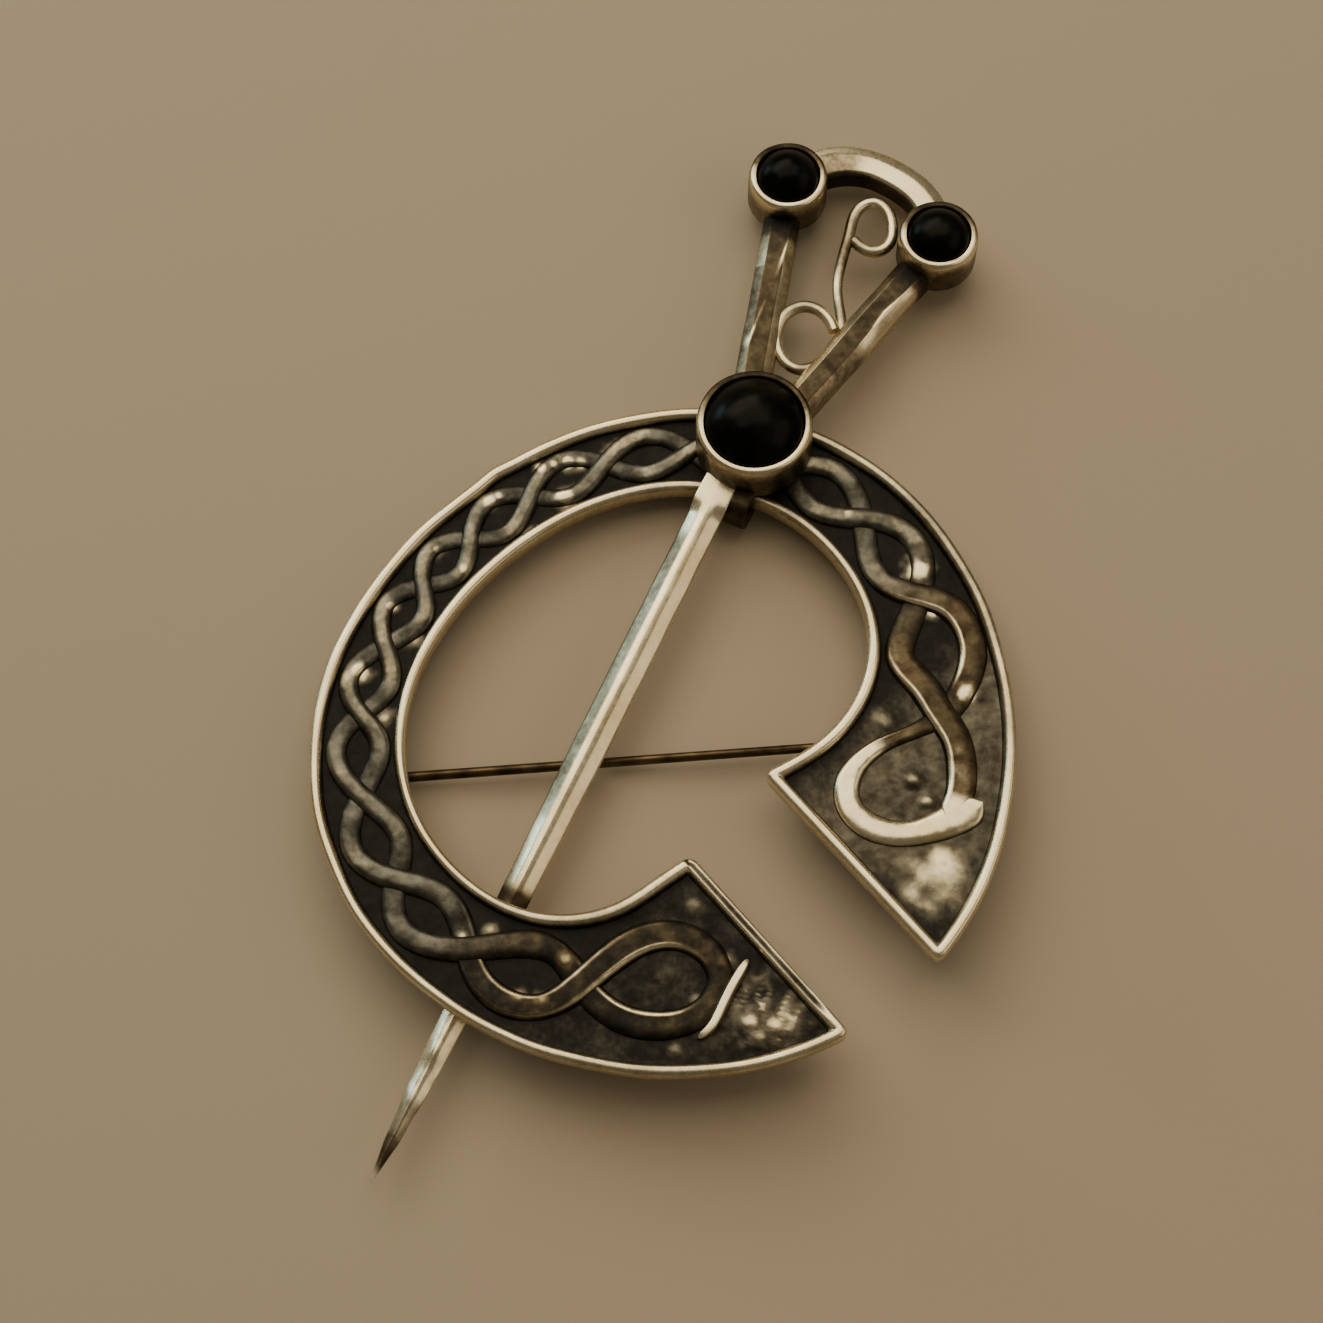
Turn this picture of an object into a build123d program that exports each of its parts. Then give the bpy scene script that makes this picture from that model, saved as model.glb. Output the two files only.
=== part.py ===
"""Penannular brooch in silver: broken ring with interlace, dress pin with three black stones, fastening stem.

Lengths in millimetres, angles in degrees. Everything is modelled in the brooch's own plane first: X along
the fastening stem, Y towards the pin's head, Z out of the ring's face, the origin at the ring's centre and
Z = 0 at the crest of the ring's rims. At the end all pieces are turned and set down together, as they lie.
"""
import os
from math import asin, atan2, cos, degrees, pi, radians, sin, sqrt

from build123d import *

os.makedirs("parts", exist_ok=True)

# Ring
ring_radius = 24.35         # crest of the outer rim, on average
ring_oval = -0.016          # share of the radius: wider across the gap's axis than along it
ring_trefoil = 0.021        # share of the radius: fuller at the gap and at both sides of the top
hole_radius = 18.4          # crest of the inner rim, on average round the hoop
ring_thickness = 1.8
rim_width = 0.9
rim_round = 0.27            # edges of the rims
ground_corner = 0.3         # corners of the sunk ground
ground_depth = 0.7          # sunk ground below the rims' crest
back_round = 0.25           # edges of the back
gap_direction = -53.1       # the way the gap faces, from +X
gap_width = 7.65            # clear width between the terminals
gap_offset = -0.95          # the gap lies this far to the right of the ring's own axis

# Interlace, cast with the ring
strand_width = 1.3          # in the narrow hoop, wider towards the terminals
strand_height = 0.4         # above the sunk ground
crossing_height = 0.58      # above the sunk ground, where a strand passes over the other
strand_growth = 0.8         # power by which strands widen with the band
strand_swing = 0.265        # share of the band by which a strand swings each way
crossing_reach = 0.3        # a raised crossing's half length, as a share of the way between two eyes
crossing_inset = 0.08       # and how much narrower it is on each side
loop_reach = 14.0           # how far the end loops run past their eyes, along the ring
loop_overlap = 0.1          # the two strands of an end loop run into each other by this share of the loop
boss_radius = 0.6
boss_height = 0.35
bar_length = 5.8            # light bar beyond the left terminal's loop
bar_width = 0.6
bar_inset = 4.6             # its middle inside the outer rim's crest
bar_angle = -30.0           # its place, from the gap's axis
bar_lean = -75.0            # its direction, from the gap's axis

# Dress pin
pin_direction = 61.1        # head's axis from +X, towards the top bar
setting_x = 7.8             # centre of the large setting
setting_y = 21.5
seat_gap = 0.15             # what is clamped on the ring stands this clear of it
frame_thickness = 1.9
frame_round = 0.4           # its upper edges
leg_width = 2.7
leg_reach = 2.0             # where the legs' middle lines start, inside the large setting
leg_spread = 1.35
bow_radius = 6.3            # middle line of the rounded top bar
bow_width = 2.5
small_setting_reach = 19.8  # along the pin from the large setting's centre
small_setting_spread = 6.1  # each side of the head's axis
scroll_wire = 0.7           # the scroll's two eyes
stretch_wire = 0.62         # the straight stretch between them
high_eye_back = 0.4         # the upper eye's middle, short of the small settings' row
high_eye_side = -1.35
high_eye_radius = 1.55
low_eye_reach = 8.8
low_eye_side = 0.2
low_eye_radius = 1.85
collar_width = 3.6
collar_thickness = 0.7
collar_round = 0.56         # its outer edges
collar_end_gap = 0.3        # more room at the band's edges, which cross the collar at a slant
shaft_turn = 1.1            # the shaft leaves the head's axis by this angle
shaft_side = 0.8            # and starts this far to the left of it
shaft_tongue = 3.9          # start of the shaft, back from the large setting's centre
shaft_length = 55.3         # from there to the tip
shaft_lap = 1.7             # stretch that lies flat on the collar
shaft_width = 2.65
shaft_height = 1.5
shaft_shoulder = 0.55       # share of the height at which the shaft is widest, below its ridge
shaft_back = 0.72           # width of its flat back, share of the width
ridge_top = 1.0             # the shaft's ridge above the rims where it starts
pass_clearance = 0.25       # between the ring's back and the ridge that passes behind it

# Settings and stones
large_stone = 7.4           # diameters
small_stone = 4.85
bezel_wall = 0.5
setting_play = 0.05         # round and under each stone
large_setting_height = 3.8
small_setting_height = 3.4
setting_floor = 1.6
large_dome = 1.9
small_dome = 1.4
girdle_drop = 0.2           # top of a stone's straight side below the setting's edge

# Fastening stem with its hinge and catch
stem_x = -21.9              # hinge axis
stem_y = -1.0
stem_depth = 1.65           # stem's axis behind the ring's back
stem_root_radius = 0.38
stem_catch_radius = 0.33
stem_tip_radius = 0.08
stem_overrun = 3.0          # past the catch
stem_point = 4.4            # length of the point
knuckle_radius = 0.95
knuckle_thickness = 0.8
rivet_radius = 0.4
running_clearance = 0.06    # round the rivet in the stem's knuckle
rivet_fit = 0.03            # round the rivet in the lugs, and under its heads
lug_radius = 1.15
lug_thickness = 0.7
lug_side_gap = 0.12
rivet_head_radius = 0.65
rivet_head_height = 0.3
catch_x = 14.0
catch_length = 1.6
catch_root_width = 1.8
catch_clearance = 0.07      # round the stem in the catch and at its mouth
root_sink = 0.3             # how deep raised and soldered parts run into what carries them

# How finely the curved outlines are drawn
rim_points = 28             # round the ring
eye_points = 5              # along a strand, from one eye to the next

# The hole's outline from the gap's side opposite to the terminals, one half of a symmetric shape
HOLE = [
    # along the gap's axis, across it (shares of the hole's radius)
    (-0.976, 0.000),
    (-0.908, 0.420),
    (-0.730, 0.730),
    (-0.445, 0.930),
    (-0.087, 0.976),
    (0.141, 0.912),
    (0.318, 0.768),
    (0.408, 0.590),
    (0.432, 0.420),
    (0.418, 0.265),
]
HOLE_CORNERS = (0.388, 0.450)  # where the right and the left terminal's corner lie along the gap's axis

# Eyes of the two-strand twist: angle round the ring from the gap's axis, right terminal to left
EYES = [36.0, 68.0, 88.5, 107.7, 125.5, 143.4, 160.0, 175.8]
EYES += [190.2, 203.1, 218.6, 231.8, 250.2, 266.6, 288.3, 318.0]

# The shaft past its lap on the collar
SHAFT = [
    # way to the tip (share of the length), width (share), height (share)
    (0.060, 1.00, 1.00),
    (0.400, 1.00, 1.00),
    (0.635, 0.86, 0.93),
    (0.800, 0.71, 0.84),
    (0.872, 0.67, 0.78),
    (0.948, 0.41, 0.50),
    (1.000, 0.06, 0.10),
]

# Places that several pieces share
ring_back = -ring_thickness
ground_level = -ground_depth
seat_level = seat_gap
stem_level = ring_back - stem_depth
fitting_bottom = stem_level - lug_radius
gap_axis = Vector(cos(radians(gap_direction)), sin(radians(gap_direction)), 0)
pin_axis = Vector(cos(radians(pin_direction)), sin(radians(pin_direction)), 0)
ring_plane = Plane(origin=(0, 0, 0), x_dir=gap_axis, z_dir=(0, 0, 1))
pin_plane = Plane(origin=(setting_x, setting_y, 0), x_dir=pin_axis, z_dir=(0, 0, 1))


def outer_crest(angle):
    """Radius of the outer rim's crest at an angle from the gap's axis: a circle with two gentle waves."""
    turn = radians(angle)
    return ring_radius * (1 + ring_oval * cos(2 * turn) + ring_trefoil * cos(3 * turn))


def inner_crest(angle):
    """Radius of the inner rim's crest, read between the rows of the hole's outline."""
    turn = abs((angle + 180) % 360 - 180)
    rows = [
        (degrees(atan2(across, along)), hole_radius * sqrt(along**2 + across**2)) for along, across in HOLE
    ]
    radius = rows[-1][1]
    for (wide, far), (narrow, near) in zip(rows, rows[1:]):
        if narrow <= turn <= wide:
            radius = near + (far - near) * (turn - narrow) / (wide - narrow)
    return radius


def way_to_crest(start, heading, crest, guess):
    """How far along a line in the ring's plane it crosses a rim's crest on its way outwards."""
    way = guess
    for _ in range(40):
        spot = ring_plane.to_local_coords(start + heading * way)
        way += crest(degrees(atan2(spot.Y, spot.X))) - sqrt(spot.X**2 + spot.Y**2)
    return way


def rim_outline(inset):
    """Outline this far inside the rims' crest, or outside it where negative: outer points, then inner."""
    right = edge_right + inset
    left = edge_left - inset
    start = degrees(asin(right / ring_radius))
    stop = 360 + degrees(asin(left / ring_radius))
    angles = [start + (stop - start) * k / rim_points for k in range(rim_points + 1)]
    radii = [outer_crest(a) - inset for a in angles]
    outer = [(r * cos(radians(a)), r * sin(radians(a))) for r, a in zip(radii, angles)]
    half = [(hole_radius * along, hole_radius * across) for along, across in HOLE[1:-1]]
    crest = [(hole_radius * HOLE_CORNERS[1], edge_left)] + [(x, -y) for x, y in reversed(half)]
    crest += [(hole_radius * HOLE[0][0], 0)] + half + [(hole_radius * HOLE_CORNERS[0], edge_right)]
    hole = [(crest[0][0] + inset, left)]
    for before, (x, y), after in zip(crest, crest[1:], crest[2:]):
        run = Vector(after[0] - before[0], after[1] - before[1]).normalized()
        hole.append((x - run.Y * inset, y + run.X * inset))
    hole.append((crest[-1][0] + inset, right))
    return outer, hole


def strand_place(step, side):
    """Place on a strand's middle line and the strand's width there.

    Whole steps are eyes. Between eyes the strand crosses the band as a cosine, and past the first and the
    last eye it turns round the end loop as a quarter of an oval.
    """
    last = len(EYES) - 1
    if step < 0:
        angle = EYES[0] - loop_reach * sin(-step * pi / 2)
        lateral = side * cos(-step * pi / 2)
    elif step > last:
        angle = EYES[last] + loop_reach * sin((step - last) * pi / 2)
        lateral = side * cos(pi * last) * cos((step - last) * pi / 2)
    else:
        row = min(int(step), last - 1)
        angle = EYES[row] + (EYES[row + 1] - EYES[row]) * (step - row)
        lateral = side * cos(pi * step)
    near = inner_crest(angle)
    band = outer_crest(angle) - near
    radius = near + band * (0.5 + strand_swing * lateral)
    width = strand_width * (band / (ring_radius - hole_radius)) ** strand_growth
    return radius * cos(radians(angle)), radius * sin(radians(angle)), width


def strand_edges(side, start, stop, narrower=0.0):
    """Both edges of a strand's stretch, as points."""
    count = max(4, round((stop - start) * eye_points))
    left, right = [], []
    for k in range(count + 1):
        step = start + (stop - start) * k / count
        x, y, width = strand_place(step, side)
        ahead = strand_place(step + 0.02, side)
        behind = strand_place(step - 0.02, side)
        run = Vector(ahead[0] - behind[0], ahead[1] - behind[1]).normalized()
        half = width / 2 - narrower
        left.append((x - run.Y * half, y + run.X * half))
        right.append((x + run.Y * half, y - run.X * half))
    return left, right


# Ring: the plate with its rims standing round the sunk ground
edge_right = gap_offset + (gap_width + rim_width) / 2
edge_left = gap_offset - (gap_width + rim_width) / 2
relief_plane = ring_plane.offset(ground_level - root_sink)
last_eye = len(EYES) - 1

outer_points, hole_points = rim_outline(-rim_width / 2)
with BuildSketch(ring_plane.offset(ring_back)) as plate_sketch:
    with BuildLine():
        Spline(*outer_points)
        Line(outer_points[-1], hole_points[0])
        Spline(*hole_points)
        Line(hole_points[-1], outer_points[0])
    make_face()
    fillet(plate_sketch.vertices(), radius=rim_width / 2)

outer_points, hole_points = rim_outline(rim_width / 2)
with BuildSketch(ring_plane.offset(ground_level)) as ground_sketch:
    with BuildLine():
        Spline(*outer_points)
        Line(outer_points[-1], hole_points[0])
        Spline(*hole_points)
        Line(hole_points[-1], outer_points[0])
    make_face()
    fillet(ground_sketch.vertices(), radius=ground_corner)

with BuildSketch(relief_plane) as strand_sketch:
    for side in (1, -1):
        left, right = strand_edges(side, -1 - loop_overlap, last_eye + 1 + loop_overlap)
        with BuildLine():
            Spline(*left)
            Line(left[-1], right[-1])
            Spline(*right)
            Line(right[0], left[0])
        make_face()

with BuildSketch(relief_plane) as crossing_sketch:
    for row in range(last_eye):
        middle = row + 0.5
        over = -1 if row % 2 else 1
        left, right = strand_edges(over, middle - crossing_reach, middle + crossing_reach, crossing_inset)
        with BuildLine():
            Spline(*left)
            Line(left[-1], right[-1])
            Spline(*right)
            Line(right[0], left[0])
        make_face()

with BuildPart() as relief:
    extrude(strand_sketch.sketch, amount=strand_height + root_sink)
    extrude(crossing_sketch.sketch, amount=crossing_height + root_sink)
    # Bosses in the eyes of the end loops
    with BuildSketch(relief_plane):
        for angle in (EYES[0], EYES[last_eye]):
            radius = (inner_crest(angle) + outer_crest(angle)) / 2
            with Locations((radius * cos(radians(angle)), radius * sin(radians(angle)))):
                Circle(boss_radius)
    extrude(amount=boss_height + root_sink)
    # Light bar beyond the left terminal's loop
    bar_radius = outer_crest(bar_angle) - bar_inset
    bar_place = (bar_radius * cos(radians(bar_angle)), bar_radius * sin(radians(bar_angle)))
    with BuildSketch(relief_plane):
        with Locations(Location(bar_place, bar_lean)):
            SlotOverall(bar_length, bar_width)
    extrude(amount=strand_height + root_sink)

with BuildPart() as ring:
    extrude(plate_sketch.sketch, amount=ring_thickness)
    extrude(ground_sketch.sketch, amount=ground_depth, mode=Mode.SUBTRACT)
    fillet(ring.edges().group_by(Axis.Z)[-1], radius=rim_round)
    fillet(ring.edges().group_by(Axis.Z)[0], radius=back_round)
    add(relief.part)
    # Hinge lugs on the back
    for turn in (1, -1):
        lug_face = stem_y + turn * (knuckle_thickness / 2 + lug_side_gap)
        with BuildSketch(Plane(origin=(stem_x, lug_face, stem_level), x_dir=(1, 0, 0), z_dir=(0, turn, 0))):
            Circle(lug_radius)
            with Locations((0, -turn * (stem_depth + root_sink) / 2)):
                Rectangle(2 * lug_radius, stem_depth + root_sink)
            Circle(rivet_radius + rivet_fit, mode=Mode.SUBTRACT)
        extrude(amount=lug_thickness)
    # Plain catch: a block round the stem, open on the side away from the ring
    mouth = stem_catch_radius + catch_clearance
    catch_radius = sqrt(lug_radius**2 + mouth**2)
    catch_start = (catch_x - catch_length / 2, stem_y, stem_level)
    with BuildSketch(Plane(origin=catch_start, x_dir=(0, 1, 0), z_dir=(1, 0, 0))):
        Circle(catch_radius)
        with Locations((0, (stem_depth + root_sink) / 2)):
            Rectangle(catch_root_width, stem_depth + root_sink)
        Circle(mouth, mode=Mode.SUBTRACT)
        with Locations((0, -catch_radius)):
            Rectangle(2 * mouth, 2 * catch_radius, mode=Mode.SUBTRACT)
    extrude(amount=catch_length)

# Fastening stem: a round wire with a flat knuckle at the hinge and a point past the catch
stem_length = catch_x + stem_overrun - stem_x
stem_plane = Plane(origin=(stem_x, stem_y, stem_level), x_dir=(1, 0, 0), z_dir=(0, -1, 0))

with BuildPart() as stem:
    with BuildSketch(stem_plane):
        with BuildLine():
            Polyline(
                (knuckle_radius / 2, 0),
                (knuckle_radius / 2, stem_root_radius),
                (catch_x - stem_x - catch_length, stem_catch_radius),
                (stem_length - stem_point, stem_catch_radius),
                (stem_length, stem_tip_radius),
                (stem_length, 0),
                close=True,
            )
        make_face()
    revolve(axis=Axis((stem_x, stem_y, stem_level), (1, 0, 0)))
    with BuildSketch(stem_plane.offset(-knuckle_thickness / 2)):
        Circle(knuckle_radius)
    extrude(amount=knuckle_thickness)
    with BuildSketch(stem_plane.offset(-knuckle_thickness)):
        Circle(rivet_radius + running_clearance)
    extrude(amount=2 * knuckle_thickness, mode=Mode.SUBTRACT)

# Rivet through both lugs and the knuckle, with a low head outside each lug
rivet_reach = knuckle_thickness / 2 + lug_side_gap + lug_thickness + rivet_fit

with BuildPart() as hinge_rivet:
    with BuildSketch(stem_plane.offset(-rivet_reach)):
        Circle(rivet_radius)
    extrude(amount=2 * rivet_reach)
    for turn in (1, -1):
        with BuildSketch(stem_plane.offset(turn * rivet_reach)):
            Circle(rivet_head_radius)
        extrude(amount=turn * rivet_head_height)

# Dress pin: where its frame, collar, scroll and shaft lie
frame_plane = pin_plane.offset(seat_level)
bow_centre = small_setting_reach - sqrt(bow_radius**2 - small_setting_spread**2)
small_places = [(small_setting_reach, turn * small_setting_spread) for turn in (1, -1)]
settings = [
    # place, bore's radius, height
    ((0, 0), large_stone / 2 + setting_play, large_setting_height),
    (small_places[0], small_stone / 2 + setting_play, small_setting_height),
    (small_places[1], small_stone / 2 + setting_play, small_setting_height),
]

collar_starts = [pin_plane.from_local_coords(Vector(0, turn * collar_width / 2, 0)) for turn in (-1, 0, 1)]
band_reach = ring_radius - hole_radius
collar_low = min(way_to_crest(spot, pin_axis, inner_crest, -band_reach) for spot in collar_starts)
collar_low -= rim_width / 2 + collar_end_gap
collar_high = max(way_to_crest(spot, pin_axis, outer_crest, band_reach) for spot in collar_starts)
collar_high += rim_width / 2 + collar_end_gap
collar_top = seat_level + collar_thickness
collar_bottom = ring_back - seat_gap - collar_thickness
collar_plane = Plane(origin=(setting_x, setting_y, 0), x_dir=pin_axis, z_dir=(pin_axis.Y, -pin_axis.X, 0))

# The scroll's straight stretch touches both eyes from opposite sides
scroll_level = seat_level + frame_thickness / 2
high_eye = Vector(small_setting_reach - high_eye_back, high_eye_side)
low_eye = Vector(low_eye_reach, low_eye_side)
eye_span = low_eye - high_eye
scroll_heading = atan2(eye_span.Y, eye_span.X) + asin((high_eye_radius + low_eye_radius) / eye_span.length)
scroll_normal = Vector(-sin(scroll_heading), cos(scroll_heading))
scroll_from = high_eye - scroll_normal * high_eye_radius
scroll_to = low_eye + scroll_normal * low_eye_radius

# The shaft's ridge falls evenly, and is clear of the ring's back where it passes behind the rim
shaft_angle = radians(pin_direction - shaft_turn)
shaft_heading = Vector(-cos(shaft_angle), -sin(shaft_angle), 0)
shaft_start = pin_plane.from_local_coords(Vector(-shaft_tongue, shaft_side, 0))
clear_way = way_to_crest(shaft_start, shaft_heading, inner_crest, 2 * hole_radius) - rim_width / 2
ridge_fall = (ridge_top - ring_back + pass_clearance) / clear_way


def shaft_section(way, width, height):
    """Roof-shaped section: a ridge over two facets, short sides that lean in, and a flat back."""
    spot = shaft_start + shaft_heading * way + Vector(0, 0, ridge_top - ridge_fall * way)
    across = (-shaft_heading.Y, shaft_heading.X, 0)
    with BuildSketch(Plane(origin=spot, x_dir=across, z_dir=shaft_heading)) as section:
        with BuildLine():
            Polyline(
                (0, 0),
                (width / 2, -shaft_shoulder * height),
                (shaft_back * width / 2, -height),
                (-shaft_back * width / 2, -height),
                (-width / 2, -shaft_shoulder * height),
                close=True,
            )
        make_face()
    return section.sketch


lap_heights = [ridge_top - ridge_fall * way - seat_level for way in (0, shaft_lap)]
shaft_sections = [shaft_section(way, shaft_width, high) for way, high in zip((0, shaft_lap), lap_heights)]
shaft_sections += [
    shaft_section(way * shaft_length, width * shaft_width, height * shaft_height)
    for way, width, height in SHAFT
]

with BuildPart() as dress_pin:
    # Frame of the head: two legs and a rounded top bar
    with BuildSketch(frame_plane):
        for turn in (1, -1):
            start = Vector(leg_reach, turn * leg_spread)
            end = Vector(small_setting_reach, turn * small_setting_spread)
            lean = degrees(atan2(end.Y - start.Y, end.X - start.X))
            with Locations(Location(tuple((start + end) * 0.5), lean)):
                Rectangle((end - start).length, leg_width)
        with BuildLine(mode=Mode.PRIVATE) as bow:
            ThreePointArc(small_places[1], (bow_centre + bow_radius, 0), small_places[0])
        SlotArc(bow.wire(), bow_width)
    extrude(amount=frame_thickness)
    # Collar: a strap round the ring's band
    with BuildSketch(collar_plane):
        with Locations(((collar_low + collar_high) / 2, (collar_top + collar_bottom) / 2)):
            strap_length = collar_high - collar_low + 2 * collar_thickness
            RectangleRounded(strap_length, collar_top - collar_bottom, collar_round)
        with Locations(((collar_low + collar_high) / 2, ring_back / 2)):
            Rectangle(collar_high - collar_low, ring_thickness + 2 * seat_gap, mode=Mode.SUBTRACT)
    extrude(amount=collar_width / 2, both=True)
    # Cups
    for place, bore, height in settings:
        with BuildSketch(frame_plane):
            with Locations(place):
                Circle(bore + bezel_wall)
        extrude(amount=height)
    # Rounded upper edges of the legs and the bar, up to the cups
    frame_top = seat_level + frame_thickness
    cup_radius = large_stone / 2 + setting_play + bezel_wall
    top_edges = dress_pin.edges().filter_by_position(Axis.Z, frame_top, frame_top)
    rounded = top_edges.filter_by(
        lambda edge: edge.geom_type == GeomType.LINE or edge.radius > cup_radius * 1.01
    )
    fillet(rounded, radius=frame_round)
    # Scroll of round wire: two eyes and the straight stretch between them
    for eye, radius in ((high_eye, high_eye_radius), (low_eye, low_eye_radius)):
        middle = pin_plane.from_local_coords(Vector(eye.X, eye.Y, scroll_level))
        with BuildSketch(Plane(origin=middle, x_dir=pin_axis, z_dir=(pin_axis.Y, -pin_axis.X, 0))):
            with Locations((radius, 0)):
                Circle(scroll_wire / 2)
        revolve(axis=Axis(middle, (0, 0, 1)))
    wire_start = pin_plane.from_local_coords(Vector(scroll_from.X, scroll_from.Y, scroll_level))
    wire_stop = pin_plane.from_local_coords(Vector(scroll_to.X, scroll_to.Y, scroll_level))
    with BuildSketch(Plane(origin=(wire_start + wire_stop) * 0.5, z_dir=wire_stop - wire_start)):
        Circle(stretch_wire / 2)
    extrude(amount=(wire_stop - wire_start).length / 2 + scroll_wire / 2, both=True)
    # Shaft
    loft(shaft_sections, ruled=True)
    # Bores for the stones, open at the front
    for place, bore, height in settings:
        with BuildSketch(frame_plane.offset(setting_floor)):
            with Locations(place):
                Circle(bore)
        extrude(amount=height, mode=Mode.SUBTRACT)


def cabochon(place, diameter, setting_height, dome):
    """Black stone: flat below, straight side, and a dome that is a cap of a sphere."""
    radius = diameter / 2
    seat = setting_floor + setting_play
    girdle = setting_height - girdle_drop
    sphere = (radius**2 + dome**2) / (2 * dome)
    half_turn = asin(radius / sphere) / 2
    on_dome = (sphere * sin(half_turn), girdle + dome - sphere * (1 - cos(half_turn)))
    middle = frame_plane.from_local_coords(Vector(place[0], place[1], 0))
    with BuildPart() as stone:
        with BuildSketch(Plane(origin=middle, x_dir=(1, 0, 0), z_dir=(0, -1, 0))):
            with BuildLine():
                Polyline((0, girdle + dome), (0, seat), (radius, seat), (radius, girdle))
                ThreePointArc((radius, girdle), on_dome, (0, girdle + dome))
            make_face()
        revolve(axis=Axis(middle, (0, 0, 1)))
    return stone


stone_large = cabochon((0, 0), large_stone, large_setting_height, large_dome)
stone_small_left = cabochon(small_places[0], small_stone, small_setting_height, small_dome)
stone_small_right = cabochon(small_places[1], small_stone, small_setting_height, small_dome)

ring.part.label = "ring"
dress_pin.part.label = "dress_pin"
stone_large.part.label = "stone_large"
stone_small_left.part.label = "stone_small_left"
stone_small_right.part.label = "stone_small_right"
stem.part.label = "stem"
hinge_rivet.part.label = "hinge_rivet"
pieces = [ring, dress_pin, stone_large, stone_small_left, stone_small_right, stem, hinge_rivet]

# The brooch lies on its lugs, its catch and the back of its collar, or the head's far edge if that is lower
lug_edge = stem_y + knuckle_thickness / 2 + lug_side_gap + lug_thickness
collar_edge = setting_y + (collar_high + collar_thickness - collar_round) * pin_axis.Y
collar_edge += pin_axis.X * collar_width / 2
collar_tilt = atan2(collar_bottom - fitting_bottom, collar_edge - lug_edge)
bow_edge = setting_y + bow_centre * pin_axis.Y + bow_radius + bow_width / 2
bow_tilt = atan2(seat_level - fitting_bottom, bow_edge - lug_edge)
rest_tilt = degrees(min(collar_tilt, bow_tilt))
turned = Location((0, 0, 0), (-rest_tilt, 0, 0))
for piece in pieces:
    piece.part.move(turned)
box = Compound([piece.part for piece in pieces]).bounding_box()
set_down = Location((-box.center().X, -box.center().Y, -box.min.Z))
for piece in pieces:
    piece.part.move(set_down)
    export_step(piece.part, f"parts/{piece.part.label}.step")

hinge = (set_down * turned * Pos(stem_x, stem_y, stem_level)).position
print(f"rest tilt {rest_tilt:.3f}, shift {-box.center().X:.4f} {-box.center().Y:.4f} {-box.min.Z:.4f}")
print(f"hinge at {hinge.X:.4f} {hinge.Y:.4f} {hinge.Z:.4f}, size", [round(side, 2) for side in box.size])
print(f"collar {collar_low:.2f} to {collar_high:.2f}, clear at {clear_way:.2f}, fall {ridge_fall:.4f}")
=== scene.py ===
# %% [markdown]
# # A penannular brooch
# A penannular brooch is a broken ring of cast silver that holds a cloak together. Here it lies face up: a
# ring with a two-strand interlace, a long dress pin whose head carries three black stones, and a thin
# fastening stem behind the ring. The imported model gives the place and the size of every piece. This lesson
# builds the finished surfaces round it with numpy, one piece at a time, and then the metals, the light and
# the camera.

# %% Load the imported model
from math import asin, atan2, cos, degrees, pi, radians, sin

import bmesh
import bpy
import numpy as np
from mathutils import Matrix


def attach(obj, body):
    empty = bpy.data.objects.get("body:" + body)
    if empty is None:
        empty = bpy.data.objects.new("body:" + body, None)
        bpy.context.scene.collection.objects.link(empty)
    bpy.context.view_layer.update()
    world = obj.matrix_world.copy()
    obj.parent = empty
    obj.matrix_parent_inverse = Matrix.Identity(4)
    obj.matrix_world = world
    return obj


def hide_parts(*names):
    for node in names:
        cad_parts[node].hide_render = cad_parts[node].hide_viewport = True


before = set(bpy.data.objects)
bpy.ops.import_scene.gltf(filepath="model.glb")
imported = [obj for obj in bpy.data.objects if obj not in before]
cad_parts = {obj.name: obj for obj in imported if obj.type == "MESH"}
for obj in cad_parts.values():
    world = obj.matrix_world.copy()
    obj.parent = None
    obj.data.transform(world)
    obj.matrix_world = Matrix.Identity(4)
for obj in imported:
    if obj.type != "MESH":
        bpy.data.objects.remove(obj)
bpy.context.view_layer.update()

print("nodes:", sorted(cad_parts))

# %% [markdown]
# ## From the brooch's own plane to the table
# Every measure below is in millimetres in the brooch's own plane: X along the fastening stem, Y towards the
# pin's head, Z out of the ring's face, with Z = 0 at the crest of the rims. The brooch lies a little
# tilted, because its collar, lugs and catch lift the ring. One function turns and shifts finished points,
# so no object needs a turn of its own.

# %% Placing on the table
rest_tilt = radians(4.452)
rest_shift = np.array([-0.135, -7.6611, 4.6045])
millimetre = 0.001


def on_table(points):
    """Turns points about X by the rest tilt, adds the shift, and gives metres."""
    x, y, z = np.asarray(points, float).T
    turned = [x, y * cos(rest_tilt) + z * sin(rest_tilt), z * cos(rest_tilt) - y * sin(rest_tilt)]
    return (np.stack(turned, 1) + rest_shift) * millimetre


print("ring's centre on the table, mm:", on_table([[0, 0, 0]])[0] / millimetre)

# %% [markdown]
# ## Grids, caps and shells
# Nearly everything on the brooch is a grid of points that is bent into shape: a tube, a strap, a turned
# cup. A shell is such a grid with its faces and a wear value for each point: 1 where cloth and fingers keep
# the silver bright, 0 where the blackening stays. A piece is one or more closed shells.

# %% Helpers for shells
def grid_faces(rows, columns, round_rows=False, round_columns=True):
    """Four-sided faces of a rows by columns grid of points, closed on itself where asked."""
    number = np.arange(rows * columns).reshape(rows, columns)
    if round_rows:
        number = np.vstack([number, number[:1]])
    if round_columns:
        number = np.hstack([number, number[:, :1]])
    corners = [number[:-1, :-1], number[:-1, 1:], number[1:, 1:], number[1:, :-1]]
    return np.stack([corner.ravel() for corner in corners], 1).tolist()


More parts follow.
